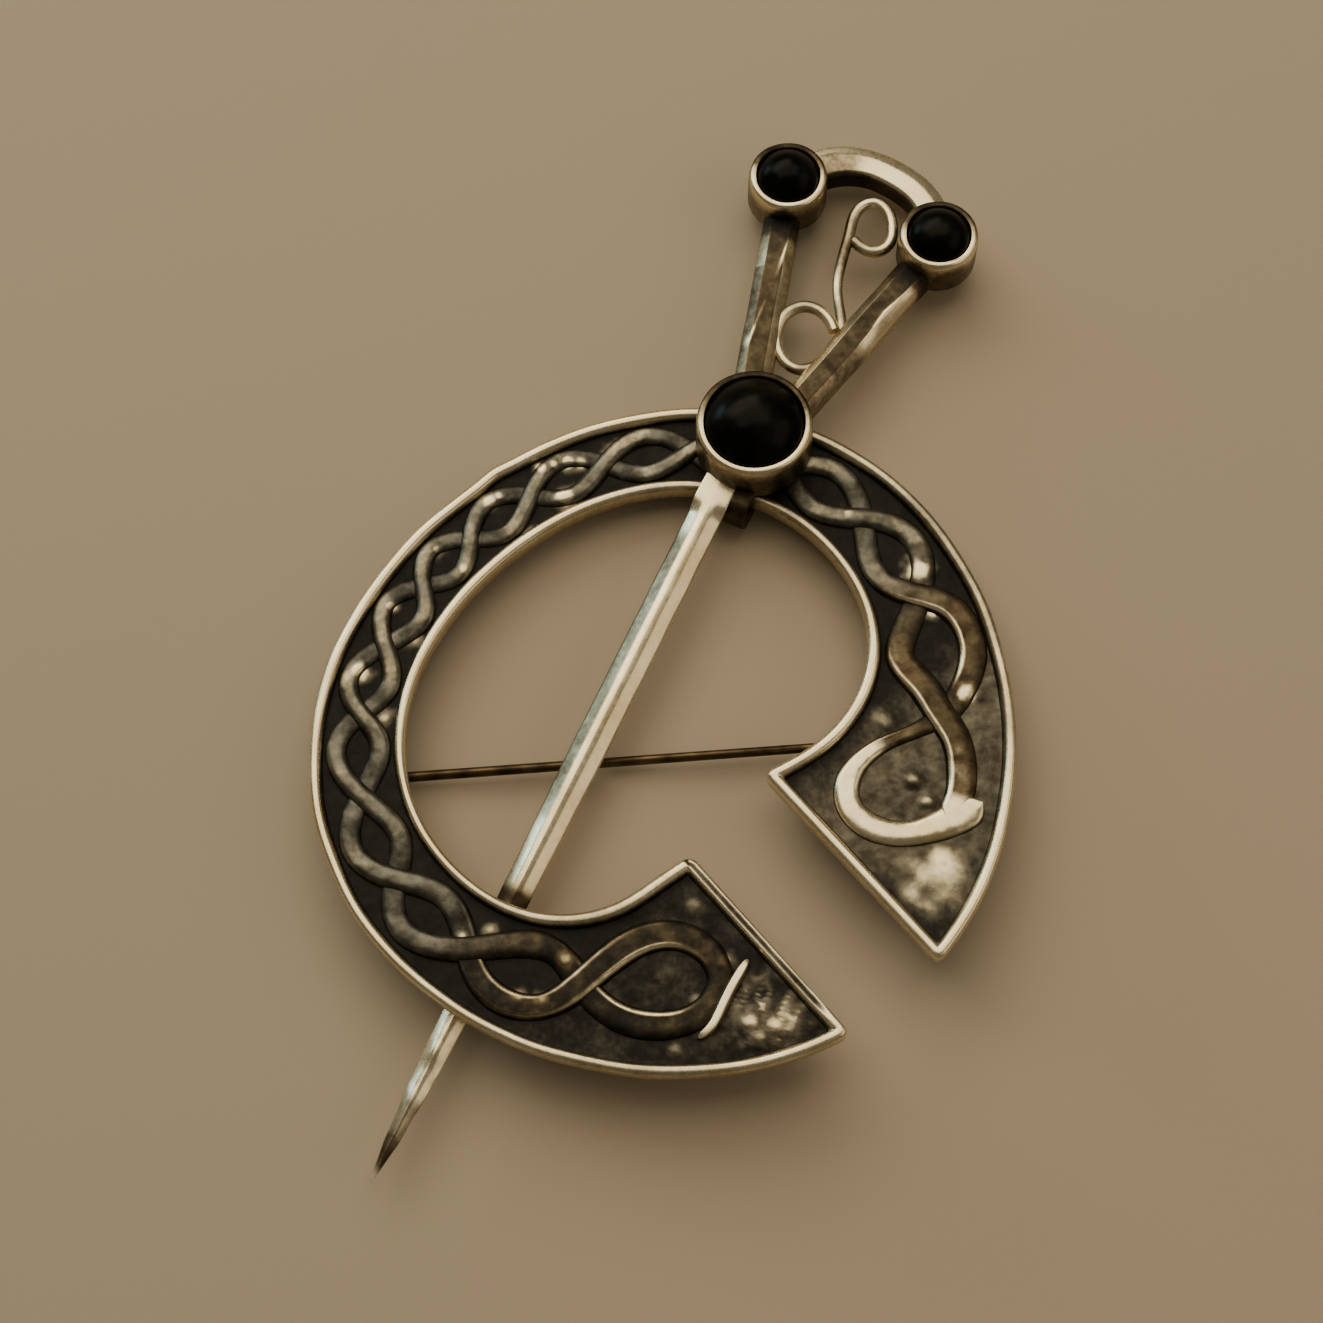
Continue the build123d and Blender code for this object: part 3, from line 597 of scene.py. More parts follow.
# Towards the gap, where the ground is open, the cloth reached it and left it grey
open_ground = ease((along_gap(x, y) - 6.5) / 5)
grey = open_ground * (0.10 + 0.17 * ease((y + 13) / 3) + 0.04 * lumps(x, y, 1.8, 23) + 0.03 * streaks)
spots_lift, spots_wear_and_glints = hills(x, y, PROUD_SPOTS_AND_GLINTS[:, [0, 1, 2, 3]]), hills(x, y, PROUD_SPOTS_AND_GLINTS[:, [0, 1, 2, 4]])
casting = lumps(x, y, 0.9, 11) + open_ground * lumps(x, y, 0.4, 12)
ground = -ground_depth + 0.03 * casting + 0.13 * rough + spots_lift
print("ground from", ground.min().round(2), "to", ground.max().round(2), "mm")

# %% The rims
rim_fall = 0.26
crest_share = np.clip(np.abs(from_edge - half_rim) / half_rim, 0, 1)
crest = -rim_fall * crest_share**3 + 0.02 * lumps(x, y, 2.5, 41)
fall = ease((from_edge - 0.90) / 0.18)
# How bright the rims are round the ring, by direction in degrees, outer and inner: partly polish,
# partly a painted highlight and shade that follow where the light falls
around_ring = np.degrees(np.arctan2(y, x))
outer_polish_and_sheen = np.interp(around_ring, [-180, -140, -115, -90, -70, -45, -25, 0, 40, 75, 95, 120, 180],
                         [0.97, 0.86, 0.74, 0.70, 0.84, 0.96, 0.88, 0.72, 0.62, 0.74, 0.96, 1.0, 0.97])
inner_polish_and_sheen = np.interp(around_ring, [-180, -140, -110, -90, -70, -30, 0, 40, 75, 95, 120, 180],
                         [0.95, 0.78, 0.64, 0.74, 0.90, 0.90, 0.86, 0.76, 0.60, 0.80, 1.0, 0.95])
rim_polish_and_sheen = np.where(from_gap < 1.0, 0.98, np.where(from_outer < from_inner, outer_polish_and_sheen, inner_polish_and_sheen))
# A dark film stayed in the hollow that runs along the left side of the gap
hollow = bell(from_left_gap, 0.46, 0.20) * ease(from_outer / 2 - 0.7)
crest = crest - 0.10 * hollow
rim_wear = rim_polish_and_sheen * (1 - 0.12 * crest_share**3) * (1 - 0.82 * hollow) + 0.06 * lumps(x, y, 1.7, 42)
face_z = crest * (1 - fall) + ground * fall
face_wear = rim_wear * (1 - fall) + np.maximum(0.03 + grey + 0.58 * rough, spots_wear_and_glints) * fall
print("face from", face_z.min().round(2), "to", face_z.max().round(2), "mm")

# %% [markdown]
# ## Walls, back and fittings of the ring
# The sides and the back close the plate: loops that follow its outline go down from the face and turn in
# over the rounded edge, and one flat face closes the back. Two lugs for the hinge and a plain catch are
# soldered there, each a small plate cut from an outline with its edges rounded off.

# %% Closing the ring
def outward(loop):
    """Unit normals of a closed loop in plan, to its right as it runs."""
    run = unit(np.roll(loop, -1, 0) - np.roll(loop, 1, 0))
    return np.stack([run[:, 1], -run[:, 0]], 1)


def turning_way(loop):
    """1 for a loop in plan that runs to its left and -1 for one that runs to its right: the sign of its area,
    the sum of x1 y2 - y1 x2 over its sides."""
    after = np.roll(loop, -1, 0)
    return np.sign(np.sum(loop[:, 0] * after[:, 1] - loop[:, 1] * after[:, 0]))


number = np.arange(rows * columns).reshape(rows, columns)
border = np.concatenate([number[0, :-1], number[:-1, -1], number[-1, :0:-1], number[:0:-1, 0]])
face_points = np.column_stack([face_xy.reshape(-1, 2), face_z.ravel()])
outline = face_points[border, :2]
turn_sign = turning_way(outline)
# Inset and height of each loop
WALL = [(0.0, -0.48), (0.0, -0.95), (0.0, -1.45), (0.05, -1.64), (0.16, -1.76), (0.32, -1.8), (0.6, -1.8)]
loops, ring_faces, above = [], grid_faces(rows, columns, round_columns=False), border
for step, (inset, height) in enumerate(WALL):
    below = rows * columns + step * len(border) + np.arange(len(border))
    inset_loop = outline - turn_sign * outward(outline) * inset
    loops.append(np.column_stack([inset_loop, np.full(len(border), height)]))
    quads = np.stack([above, np.roll(above, -1), np.roll(below, -1), below], 1)
    ring_faces += quads.tolist()
    above = below
# The flat back: a strip of quads from the inner to the outer edge, and a face along each side of the gap
turning = columns - 1, columns + rows - 2, 2 * columns + rows - 3
inner_side, outer_side = above[: columns], above[turning[1] : turning[2] + 1][::-1]
ring_faces += np.stack([inner_side[:-1], inner_side[1:], outer_side[1:], outer_side[:-1]], 1).tolist()
ring_faces += [above[turning[0] : turning[1] + 1].tolist(), above[np.r_[turning[2] : len(above), 0]].tolist()]
wall_wear = np.repeat([0.75, 0.7, 0.65, 0.7, 0.7, 0.6, 0.55], len(border))
ring_shell = (np.vstack([face_points, *loops]), ring_faces, np.concatenate([face_wear.ravel(), wall_wear]))
print("ring's shell:", len(ring_shell[0]), "points")


# %% Lugs and catch
def plate(outline, frame_of, thickness, rounding=0.12, wear=0.6):
    """A plate from a closed outline: loops at its two faces and a rounding in from them, placed by frame_of."""
    half = thickness / 2
    steps = [(rounding, -half), (0.3 * rounding, -half + 0.3 * rounding), (0, -half + rounding),
             (0, half - rounding), (0.3 * rounding, half - 0.3 * rounding), (rounding, half)]
    inwards = -turning_way(outline) * outward(outline)
    layers = [frame_of(outline + inwards * inset, depth) for inset, depth in steps]
    return tube(np.stack(layers), wear)


stem_x, stem_y, stem_level = -21.9, -1.0, -3.45
lug_radius, lug_thickness, lug_middle = 1.15, 0.7, 0.87
catch_x, catch_length, catch_mouth, catch_root = 14.0, 1.6, 0.4, 0.9
root_height = -ring_thickness + 0.3 - stem_level
lug_round = lug_radius * circle(np.radians(np.linspace(-180, 0, 25)))
lug_outline = np.vstack([lug_round, [[lug_radius, root_height], [-lug_radius, root_height]]])
lugs = [
    plate(lug_outline, lambda flat, depth, way=way: np.column_stack(
        [stem_x + flat[:, 0], np.full(len(flat), stem_y + way * lug_middle + depth), stem_level + flat[:, 1]]),
          lug_thickness)
    for way in (1, -1)
]
catch_radius = np.hypot(lug_radius, catch_mouth)
open_turn = degrees(asin(catch_mouth / catch_radius))
root_turn = degrees(np.arccos(catch_root / catch_radius))
catch_side = catch_radius * circle(np.radians(np.linspace(-90 + open_turn, root_turn, 14)))
catch_outline = np.vstack([
    catch_side,
    [[catch_root, root_height], [-catch_root, root_height]],
    catch_side[::-1] * (-1, 1),
    catch_mouth * circle(np.radians(np.linspace(180, 0, 15))),
])
catch = plate(catch_outline, lambda flat, depth: np.column_stack(
    [np.full(len(flat), catch_x + depth), stem_y + flat[:, 0], stem_level + flat[:, 1]]), catch_length)
make_piece("ring_cast", [ring_shell, *lugs, catch], silver, "ring", brown=0.45)

# %% [markdown]
# ## The interlace as bands
# Each strand is a low rounded band swept along its middle line: its top is level times (1 - |u|^2.8)^0.6
# for u from edge to edge. The level rises where the strand passes over and sinks where it passes under, and
# the part below stays blacker, because no cloth reaches it. In the terminals a strand's edge is a narrow
# raised bead whose brightness is partly polish, partly a painted highlight along the edge. The hills of the
# table of proud places and painted glints lift and brighten the bands too, and a bar beyond the left loop
# ends the relief.

# %% Looks along the strands
strand_level, strand_weave = 0.44, 0.16
bead_height, bead_place, bead_reach = 0.10, 0.70, 0.20
across = np.sin(np.linspace(-pi / 2, pi / 2, 21))

# Step along the strand: wear, bead on the left edge, bead on the right edge
LONG_LOOK = np.array([
    (-0.9, 0.98, 0.9, 0.0), (-0.65, 0.90, 1.0, 0.0), (-0.45, 0.46, 1.0, 0.0), (0.6, 0.37, 1.0, 0.0),
    (0.9, 0.38, 0.9, 0.0), (1.15, 0.43, 0.2, 0.0), (2.0, 0.46, 0.1, 0.0), (5.0, 0.49, 0.0, 0.0),
    (10.0, 0.51, 0.0, 0.0), (12.5, 0.43, 0.1, 0.1), (13.2, 0.30, 0.4, 0.2), (14.0, 0.20, 0.8, 0.5),
    (14.6, 0.19, 0.7, 1.0), (15.0, 0.20, 0.4, 1.0), (15.3, 0.24, 0.1, 0.7), (15.8, 0.22, 0.0, 0.2),
])
LOOP_LOOK = np.array([
    (-2.2, 1.00, 0.0, 0.0), (-0.6, 1.00, 0.0, 0.0), (-0.2, 0.98, 0.3, 0.0), (0.1, 0.90, 0.9, 0.0),
    (0.3, 0.70, 0.6, 0.0), (0.42, 0.40, 0.2, 0.0), (0.6, 0.60, 0.2, 0.0), (0.8, 0.44, 0.8, 0.0),
    (1.0, 0.36, 1.0, 0.0), (1.55, 0.40, 1.0, 0.0), (1.9, 0.44, 0.5, 0.0), (2.6, 0.47, 0.1, 0.0),
    (5.0, 0.49, 0.0, 0.0), (10.0, 0.51, 0.0, 0.0), (12.5, 0.42, 0.1, 0.1), (13.2, 0.30, 0.3, 0.2),
    (14.0, 0.26, 0.2, 0.3), (14.5, 0.17, 0.5, 0.0), (14.9, 0.16, 1.0, 0.0), (15.3, 0.18, 0.9, 0.0),
    (15.6, 0.24, 0.3, 0.0), (15.9, 0.24, 0.0, 0.0),
])
print("rows of looks:", len(LONG_LOOK), len(LOOP_LOOK))


# %% Bands
def band(strand, side, look):
    """The shell of a strand: a row of points across its top at every station, and two feet under the ground.
    Its ends are round in plan: the half width falls as sqrt(1 - (1 - way from the end / half width)²)."""
    spot, step, half = strand[:, :2], strand[:, 2], strand[:, 3, None] / 2
    run = unit(np.gradient(spot, axis=0))
    weave = side * np.sin(pi * np.clip(step, 0, 15))[:, None]
    gone = ways(spot)[:, None]
    near_end = np.clip(1 - np.minimum(gone, gone[-1] - gone) / half, 0, 1)
    half = half * np.sqrt(np.clip(1 - near_end**2, 0.03, 1))
    worn, left_bead, right_bead = (np.interp(step, look[:, 0], look[:, k])[:, None] for k in (1, 2, 3))
    bead = left_bead * bell(across, bead_place, bead_reach) + right_bead * bell(across, -bead_place, bead_reach)
    x, y = spot[:, :1] - run[:, 1:] * across * half, spot[:, 1:] + run[:, :1] * across * half
    rise = np.clip(1 - np.abs(across) ** 2.8, 0, 1) ** 0.6
    lumpy = 0.030 * lumps(x, y, 1.0, 31) + 0.015 * lumps(x, y, 0.45, 32)
    proud = hills(x, y, PROUD_SPOTS_AND_GLINTS[:, [0, 1, 2, 3]])
    top = (strand_level + strand_weave * weave + lumpy + bead_height * bead + 0.5 * proud) * rise - ground_depth
    feet = np.stack([x[:, [-1, 0]], y[:, [-1, 0]], np.full((len(x), 2), -ground_depth - 0.25)], -1)
    rings = np.concatenate([np.stack([x, y, top], -1), feet], 1)
    under = 0.42 * worn * ease(-1.4 * weave)
    wear = (worn - under + 0.07 * lumps(x, y, 1.5, 33)) * (0.40 + 0.60 * rise)
    # The table's hills brighten the band; at the glints this brightness is a painted highlight
    spots_and_glints_here = hills(x, y, PROUD_SPOTS_AND_GLINTS[:, [0, 1, 2, 4]]) * rise
    # The beads' brightness is partly polish, partly a painted highlight along the edges
    wear = np.maximum(np.maximum(wear, 0.98 * bead * ease(2 * bead)), spots_and_glints_here)
    return tube(rings, np.hstack([wear, np.zeros((len(x), 2))]))


bands = [band(long_strand, 1, LONG_LOOK), band(loop_strand, -1, LOOP_LOOK)]
print("bands:", [len(points) for points, _, _ in bands], "points")

# %% Bar, and the interlace as one piece
# X, Y and height of the bar's middle line
BAR = np.array([(4.25, -16.75, -0.42), (3.1, -18.4, -0.34), (2.1, -20.1, -0.34), (1.2, -21.4, -0.38),
                (0.4, -21.9, -0.50)])
bar_line = smooth(BAR, np.linspace(0, 1, 50))
bar_thick = np.sqrt(np.clip(1 - np.abs(np.linspace(-1, 1, 50)) ** 6, 0.04, 1))
bar_round = eased([(0.5, -0.1), (0.30, 0.5), (-0.30, 0.5), (-0.5, -0.1), (-0.42, -0.8), (0.42, -0.8)],
                  share=0.2)
bar = tube(sweep(bar_line, bar_round, 0.82 * bar_thick, 0.62 * bar_thick), 1.0)


def terminal_brown(points):
    """Brown film towards the gap, grey film in the hoop."""
    return ease((along_gap(points[:, 0], points[:, 1]) + 1) / 8)


make_piece("ring_interlace", [*bands, bar], silver, "ring", sharp=60, brown=terminal_brown)

# %% [markdown]
# ## The shaft
# The dress pin's shaft is filed to a roof: two facets that meet in a ridge, short sides that lean in and a
# flat back. It lies on the collar, passes behind the lower rim and runs out to a point. A table gives its
# width and its height on the way, and small lumps along it are the marks of the file.

# %% The pin's own directions
pin_turn = radians(61.1)
pin_axis = np.array([cos(pin_turn), sin(pin_turn), 0])
pin_left = np.array([-sin(pin_turn), cos(pin_turn), 0])
large_setting = np.array([7.8, 21.5, 0])


def head_place(reach, left, height):
    """A place in the pin's head: along its axis from the large setting, to the left of it, and up."""
    ahead, aside = np.multiply.outer(reach, pin_axis), np.multiply.outer(left, pin_left)
    return large_setting + ahead + aside + np.multiply.outer(np.broadcast_to(height, np.shape(reach)), upwards)


print("top bar's middle:", head_place([24.5], [0], 0)[0].round(2))

# %% Shaft
shaft_turn, shaft_side, shaft_tongue, shaft_length = 1.1, 0.8, 3.9, 55.3
shaft_width, shaft_height, ridge_top, ridge_fall = 2.65, 1.5, 1.0, 0.0882
SHAFT = np.array([
    # way to the tip, width, height: shares of the whole
    (0.000, 0.92, 0.18), (0.036, 1.00, 0.22), (0.056, 1.00, 1.00), (0.400, 1.00, 1.00), (0.635, 0.86, 0.93),
    (0.800, 0.71, 0.78), (0.872, 0.67, 0.72), (0.948, 0.41, 0.48), (1.000, 0.06, 0.10),
])
roof = eased([(0.16, -0.08), (0.5, -0.45), (0.36, -1), (-0.36, -1), (-0.5, -0.45), (-0.16, -0.08), (0, 0)],
             share=0.2, count=4)
way = np.concatenate([np.linspace(0, 0.06, 14), np.linspace(0.065, 1, 220)])
heading = np.array([-cos(pin_turn - radians(shaft_turn)), -sin(pin_turn - radians(shaft_turn)), 0])
shaft_start = head_place([-shaft_tongue], [shaft_side], ridge_top)[0]
falling = ridge_fall * way * shaft_length - 0.10 * ease(1 - way / 0.09)
shaft_path = shaft_start + np.outer(way * shaft_length, heading) - np.outer(falling, upwards)
filed_way = way * shaft_length
late = ease((way - 0.72) / 0.1)
wobble = (0.012 + 0.05 * late) * lumps(filed_way, 0, 2.2, 51)
wobble = wobble + (0.006 + 0.03 * late) * lumps(filed_way, 0, 0.9, 52)
narrowing = 1 - ease((way - 0.93) / 0.07)
shaft_rings = sweep(
    shaft_path, roof,
    shaft_width * (np.interp(way, SHAFT[:, 0], SHAFT[:, 1]) + wobble * narrowing),
    shaft_height * np.interp(way, SHAFT[:, 0], SHAFT[:, 2]),
)
# The file's marks: the skin of the tail dips and swells a little, more on one side than on the other
dents = (0.010 + 0.075 * late * narrowing)[:, None] * lumps(filed_way[:, None], 1.9 * roof[None, :, 0], 1.2, 54)
shaft_rings[..., 2] += dents * (roof[:, 1] > -0.6)
# Bright nearly all the way; a painted shadow of the lower rim where the shaft dips under it, and a film on the
# last stretch
painted_rim_shade = bell(way, 0.615, 0.020)
dulled = ease((way - 0.86) / 0.05) * (1 - 0.7 * ease((way - 0.975) / 0.02))
streaky = lumps(0.25 * filed_way[:, None], 6.0 * roof[None, :, 0], 1.0, 55)
shaft_wear = 0.94 + 0.05 * streaky - 0.70 * painted_rim_shade[:, None] - 0.60 * dulled[:, None] * (
    0.75 + 0.35 * lumps(filed_way[:, None], 1.5 * roof[None, :, 0], 1.7, 53))
# The left side of the roof is greyer from near the collar to past the middle, in long streaks: a painted shade
# where that facet reflects less light
left_facet_shade = np.outer(ease((0.56 - way) / 0.10) * ease((way - 0.06) / 0.04), ease((roof[:, 0] - 0.12) / 0.08))
shaft_wear = shaft_wear - left_facet_shade * (0.40 + 0.12 * streaky)
make_piece("pin_shaft", [tube(shaft_rings, shaft_wear)], silver, "dress_pin")

# %% [markdown]
# ## The collar
# The pin is held by a strap that is bent round the ring's band and soldered under the large setting. Its
# middle line is a rounded rectangle in the plane of the pin, and the strap's section is a flat one with
# eased edges.

# %% Collar
collar_low, collar_high, collar_width, collar_thickness = -5.12, 3.17, 3.6, 0.7
seat_level, collar_round = 0.15, 0.75
collar_section = eased([(0.5, 0.5), (0.5, -0.5), (-0.5, -0.5), (-0.5, 0.5)], share=0.12)
half_strap = collar_thickness / 2
left_end, right_end = collar_low - half_strap, collar_high + half_strap
low_level, high_level = -ring_thickness - seat_level - half_strap, seat_level + half_strap
bends = []
for reach, level, first in ((right_end, high_level, 90), (right_end, low_level, 0),
                            (left_end, low_level, -90), (left_end, high_level, -180)):
    turn = np.radians(np.linspace(first, first - 90, 7))
    middle_reach = reach - collar_round * np.sign(reach)
    middle_level = level - collar_round * (1 if level == high_level else -1)
    bends.append([middle_reach, middle_level] + collar_round * circle(turn))
strap = np.vstack(bends)
strap_path = large_setting + np.outer(strap[:, 0], pin_axis) + np.outer(strap[:, 1], upwards)
collar_rings = sweep(strap_path, collar_section[:, ::-1], collar_thickness, collar_width, up=pin_left,
                     closed=True)
make_piece("pin_collar", [tube(collar_rings, 0.26, closed=True)], silver, "dress_pin")

# %% [markdown]
# ## The head's frame
# Two legs spread from the large setting to the small ones, and a rounded bar joins those at the top. They
# are flat-topped bars with wide filed bevels. The flats keep a brown film and the bevels are polished, their
# brightness along each leg partly a painted highlight and shade; a thin line on each leg is a painted
# highlight, a painted shade darkens each leg where it meets a small setting, and a painted shadow lies along
# the top bar's inner wall.

# %% Legs
small_reach, small_left, frame_thickness = 19.8, 6.1, 1.9
frame_middle = seat_level + frame_thickness / 2
leg_width, highlight_line_width = 2.7, 0.075
bevelled = eased([(0.5, -0.5), (-0.5, -0.5), (-0.5, 0.20), (-0.25, 0.5), (0.25, 0.5), (0.5, 0.20)],
                 share=0.12, count=4)
# More points across the flat top, which carries the worn line
bevelled = np.vstack([bevelled[:16], np.linspace(bevelled[15], bevelled[16], 9)[1:-1], bevelled[16:]])
on_leg = np.linspace(0, 1, 110)
legs = []
for side in (1, -1):
    spots = smooth([(2.0, 1.35), (6.0, 2.45), (12.0, 4.0), (19.8, 6.1)], on_leg) * (1, side)
    leg_path = head_place(spots[:, 0], spots[:, 1], frame_middle)
    leg_wide = leg_width * (1 + 0.025 * lumps(on_leg * 18, 0, 2.5, 61 + side))
    rings = sweep(leg_path, bevelled, leg_wide, frame_thickness)
    upper = bevelled[None, :, 1] > 0
    # To the right of the leg as it runs from the large setting to the small one
    right_of = bevelled[None, :, 0]
    rings[..., 2] += 0.05 * upper * lumps(on_leg[:, None] * 18, 2.5 * right_of, 2.0, 63 + side)
    # Bevels brighter than flats, partly polish and partly painted highlight; below, each bevel's brightness
    # along the leg is painted highlight and shade
    facet_wear_and_sheen = np.where(np.abs(right_of) > 0.24, 0.62, 0.28)
    if side == 1:
        # A painted highlight, a thin line raised a little, runs across the left leg from its outer edge at the
        # foot to its inner edge at the top
        crossing = np.interp(on_leg, [0, 0.22, 0.42, 0.62, 0.80, 1], [-0.42, -0.36, -0.10, 0.16, 0.38, 0.40])
        strength = np.interp(on_leg, [0, 0.2, 0.4, 0.5, 0.62, 0.8, 1], [0.9, 1, 0.8, 0.25, 0.9, 1, 0.3])
        facet_wear_and_sheen = facet_wear_and_sheen - 0.12 * (right_of < -0.24) * (on_leg[:, None] < 0.62)
    else:
        # On the right leg it stays near the right bevel, which is bright from half way up: a painted highlight
        crossing = np.interp(on_leg, [0, 0.4, 0.5, 0.62, 0.8, 1], [0.38, 0.38, 0.30, 0.20, 0.34, 0.36])
        strength = np.interp(on_leg, [0, 0.3, 0.45, 0.6, 0.8, 1], [0.1, 0.1, 0.9, 1, 1, 0.3])
        facet_wear_and_sheen = facet_wear_and_sheen + (right_of > 0.24) * (0.44 * ease((on_leg[:, None] - 0.38) / 0.16) - 0.10)
        facet_wear_and_sheen = facet_wear_and_sheen + 0.32 * (right_of < -0.24) * ease((0.50 - on_leg[:, None]) / 0.1)
    line = strength[:, None] * bell(right_of, crossing[:, None], highlight_line_width) * upper
    line = line * (0.80 + 0.30 * lumps(on_leg[:, None] * 18, 2 * right_of, 1.1, 67 + side))
    rings[..., 2] += 0.08 * line
    # A painted shade where the leg meets its small setting
    joint_shade = bell(on_leg, 0.83, 0.06)[:, None]
    legs.append(tube(rings, np.maximum(facet_wear_and_sheen, line) * (1 - 0.85 * joint_shade)))
print("legs:", len(legs), "of", legs[0][0].shape[0], "points each")

# %% Top bar
bow_radius, bow_width = 6.35, 2.6
bar_section = eased([(0.5, -0.5), (-0.5, -0.5), (-0.5, 0.30), (-0.36, 0.5), (0.12, 0.5), (0.44, 0.36),
                     (0.5, 0.1)], share=0.14, count=4)
bow_centre = small_reach - np.sqrt(bow_radius**2 - small_left**2)
half_turn = atan2(small_left, small_reach - bow_centre)
bow_turn = np.linspace(-half_turn, half_turn, 90)
# A hand-bent bow: flatter a little right of its middle and fuller at its left end
flattened = bow_radius * (1 - 0.03 * bell(bow_turn, -0.15, 0.35) + 0.02 * bell(bow_turn, 0.7, 0.3))
bow_path = head_place(bow_centre + flattened * np.cos(bow_turn), flattened * np.sin(bow_turn), frame_middle)
bow_rings = sweep(bow_path, bar_section, bow_width * (1 + 0.10 * ease((bow_turn - 0.1) / 0.6)), frame_thickness)
grey_side = ease((bow_turn - 0.05) / 0.4)[:, None] * (bar_section[None, :, 0] < 0.3)
# The top bar's inner wall is darkened: a painted shadow
inner_wall_shadow = 1.0 * (bar_section[None, :, 0] < -0.40)
bow_wear = 0.98 - 0.44 * grey_side - 0.55 * ease((-0.95 - bow_turn) / 0.2)[:, None]
bow = tube(bow_rings, np.clip(bow_wear - 0.75 * inner_wall_shadow, 0.12, 1))
make_piece("pin_head_frame", [*legs, bow], silver, "dress_pin")

# %% [markdown]
# ## Settings and stones
# Each stone sits in a bezel: a strip of silver bent round and rubbed over the stone's edge, so its lip
# leans in and is never quite even. Cup and stone are turned shapes: a profile of radius and height carried
# round an axis. The stones are black onyx cabochons, low domes whose polish has gone a little soft.

# %% Black onyx
def onyx():
    """Black onyx, cut and polished long ago: near black, its polish gone a little soft, with olive patches that
    are a painted faint reflection.
    """
    material, surface = new_material("polished_black_onyx")
    place = add(material, "TexCoord", output="Object")
    cloud, smears = (add(material, "TexNoise", NOISE, (place, 1 / (size * millimetre), detail, 0.5))
                     for size, detail in ((2.5, 2), (1.2, 3)))
    depth, dull = (add(material, "MapRange", RANGE, limits)
                   for limits in ((cloud, 0.45, 0.7, 0, 1), (smears, 0.3, 0.7, 0.20, 0.30)))
    # The olive second colour, mixed in by the depth noise, is a painted faint reflection
    colours = hex_linear("#040403"), hex_linear("#12120C")
    colour = add(material, "Mix", MIX, (depth, *colours), 2, data_type="RGBA")
    bump = add(material, "Bump", BUMP, (smears, 0.10, 0.06 * millimetre))
    connect(material, surface, {"Base Color": colour, "Roughness": dull, "Normal": bump})
    connect(material, surface, {"IOR": 1.54, "Specular IOR Level": 0.07})
    return material


black_onyx = onyx()
print("material:", black_onyx.name)


# %% Cups and cabochons
def closed_turned(profile, centre, wear, wave=0.0):
    """A turned shell whose profile is itself a closed loop, as a cup's wall is."""
    return tube(turned(profile, centre, wave=wave), wear, closed=True)


STONES = [
    # name, reach, left, stone's diameter, height of the lip, dome
    ("stone_large", 0.0, 0.0, 7.4, 3.8, 1.9),
    ("stone_small_left", small_reach, small_left, 4.85, 3.4, 1.4),
    ("stone_small_right", small_reach, -small_left, 4.85, 3.4, 1.4),
]
bezel_wall, setting_floor, play, girdle_drop = 0.5, 1.6, 0.05, 0.2
# Round the lip, by direction in degrees: black on the far side towards the head's top, bright below and at
# the sides; partly polish, partly painted highlight and shade
LIP_WEAR_AND_SHEEN = ([0, 30, 60, 100, 140, 170, 195, 230, 265, 290, 320, 345, 360],
            [0.60, 0.35, 0.22, 0.20, 0.28, 0.70, 0.98, 1.00, 0.85, 0.80, 1.00, 0.80, 0.60])
WALL_WEAR = np.array([0.50, 0.50, 0.50, 0.52, 0.70, 0.9, 1.0, 1.0, 1.0, 0.7, 0.3, 0.2, 0.2])
cups = []
for name, reach, left, diameter, lip, dome in STONES:
    centre = head_place([reach], [left], seat_level)[0]
    bore = diameter / 2 + play
    outer = bore + bezel_wall
    wall = np.array([
        (0.05, -0.03), (outer - 0.10, -0.03), (outer, 0.07), (outer, 0.6 * lip), (outer - 0.03, lip - 0.55),
        (outer - 0.10, lip - 0.22), (outer - 0.22, lip - 0.05), (outer - 0.36, lip), (bore - 0.05, lip - 0.04),
        (bore - 0.12, lip - 0.14), (bore - 0.10, lip - 0.30), (bore - 0.04, setting_floor),
        (0.05, setting_floor),
    ])
    worn_and_sheen_round = np.interp(np.linspace(0, 360, 96, endpoint=False), *LIP_WEAR_AND_SHEEN)[:, None]
    cups.append(closed_turned(wall, centre, worn_and_sheen_round * WALL_WEAR, wave=0.05))
    radius = diameter / 2 - 0.10
    girdle = lip - girdle_drop
    ball = (radius**2 + dome**2) / (2 * dome)
    rise = np.linspace(0, 1, 30)
    arc = rise * asin(min(1.0, radius / ball))
    profile = np.column_stack([ball * np.sin(arc), girdle + dome - ball * (1 - np.cos(arc))])
    profile = np.vstack([profile, [(radius, setting_floor + 0.1), (radius - 0.1, setting_floor + play)]])
    profile[0, 0] = 0.01
    rings = turned(profile, centre).transpose(1, 0, 2)
    make_piece(name + "_cabochon", [tube(rings, 1.0)], black_onyx, name, sharp=60)
make_piece("pin_settings", cups, silver, "dress_pin")

# %% [markdown]
# ## The scroll
# Between the legs a round wire is bent to a scroll: a closed eye at the small setting, a nearly straight
# stretch and a larger eye at the foot, which lies on the edge of the right leg. Its middle line is a smooth
# curve through measured places, because a hand-bent eye is never a true circle, and the wire is a round
# section.

# %% Scroll
scroll_wire, scroll_level = 0.45, frame_middle
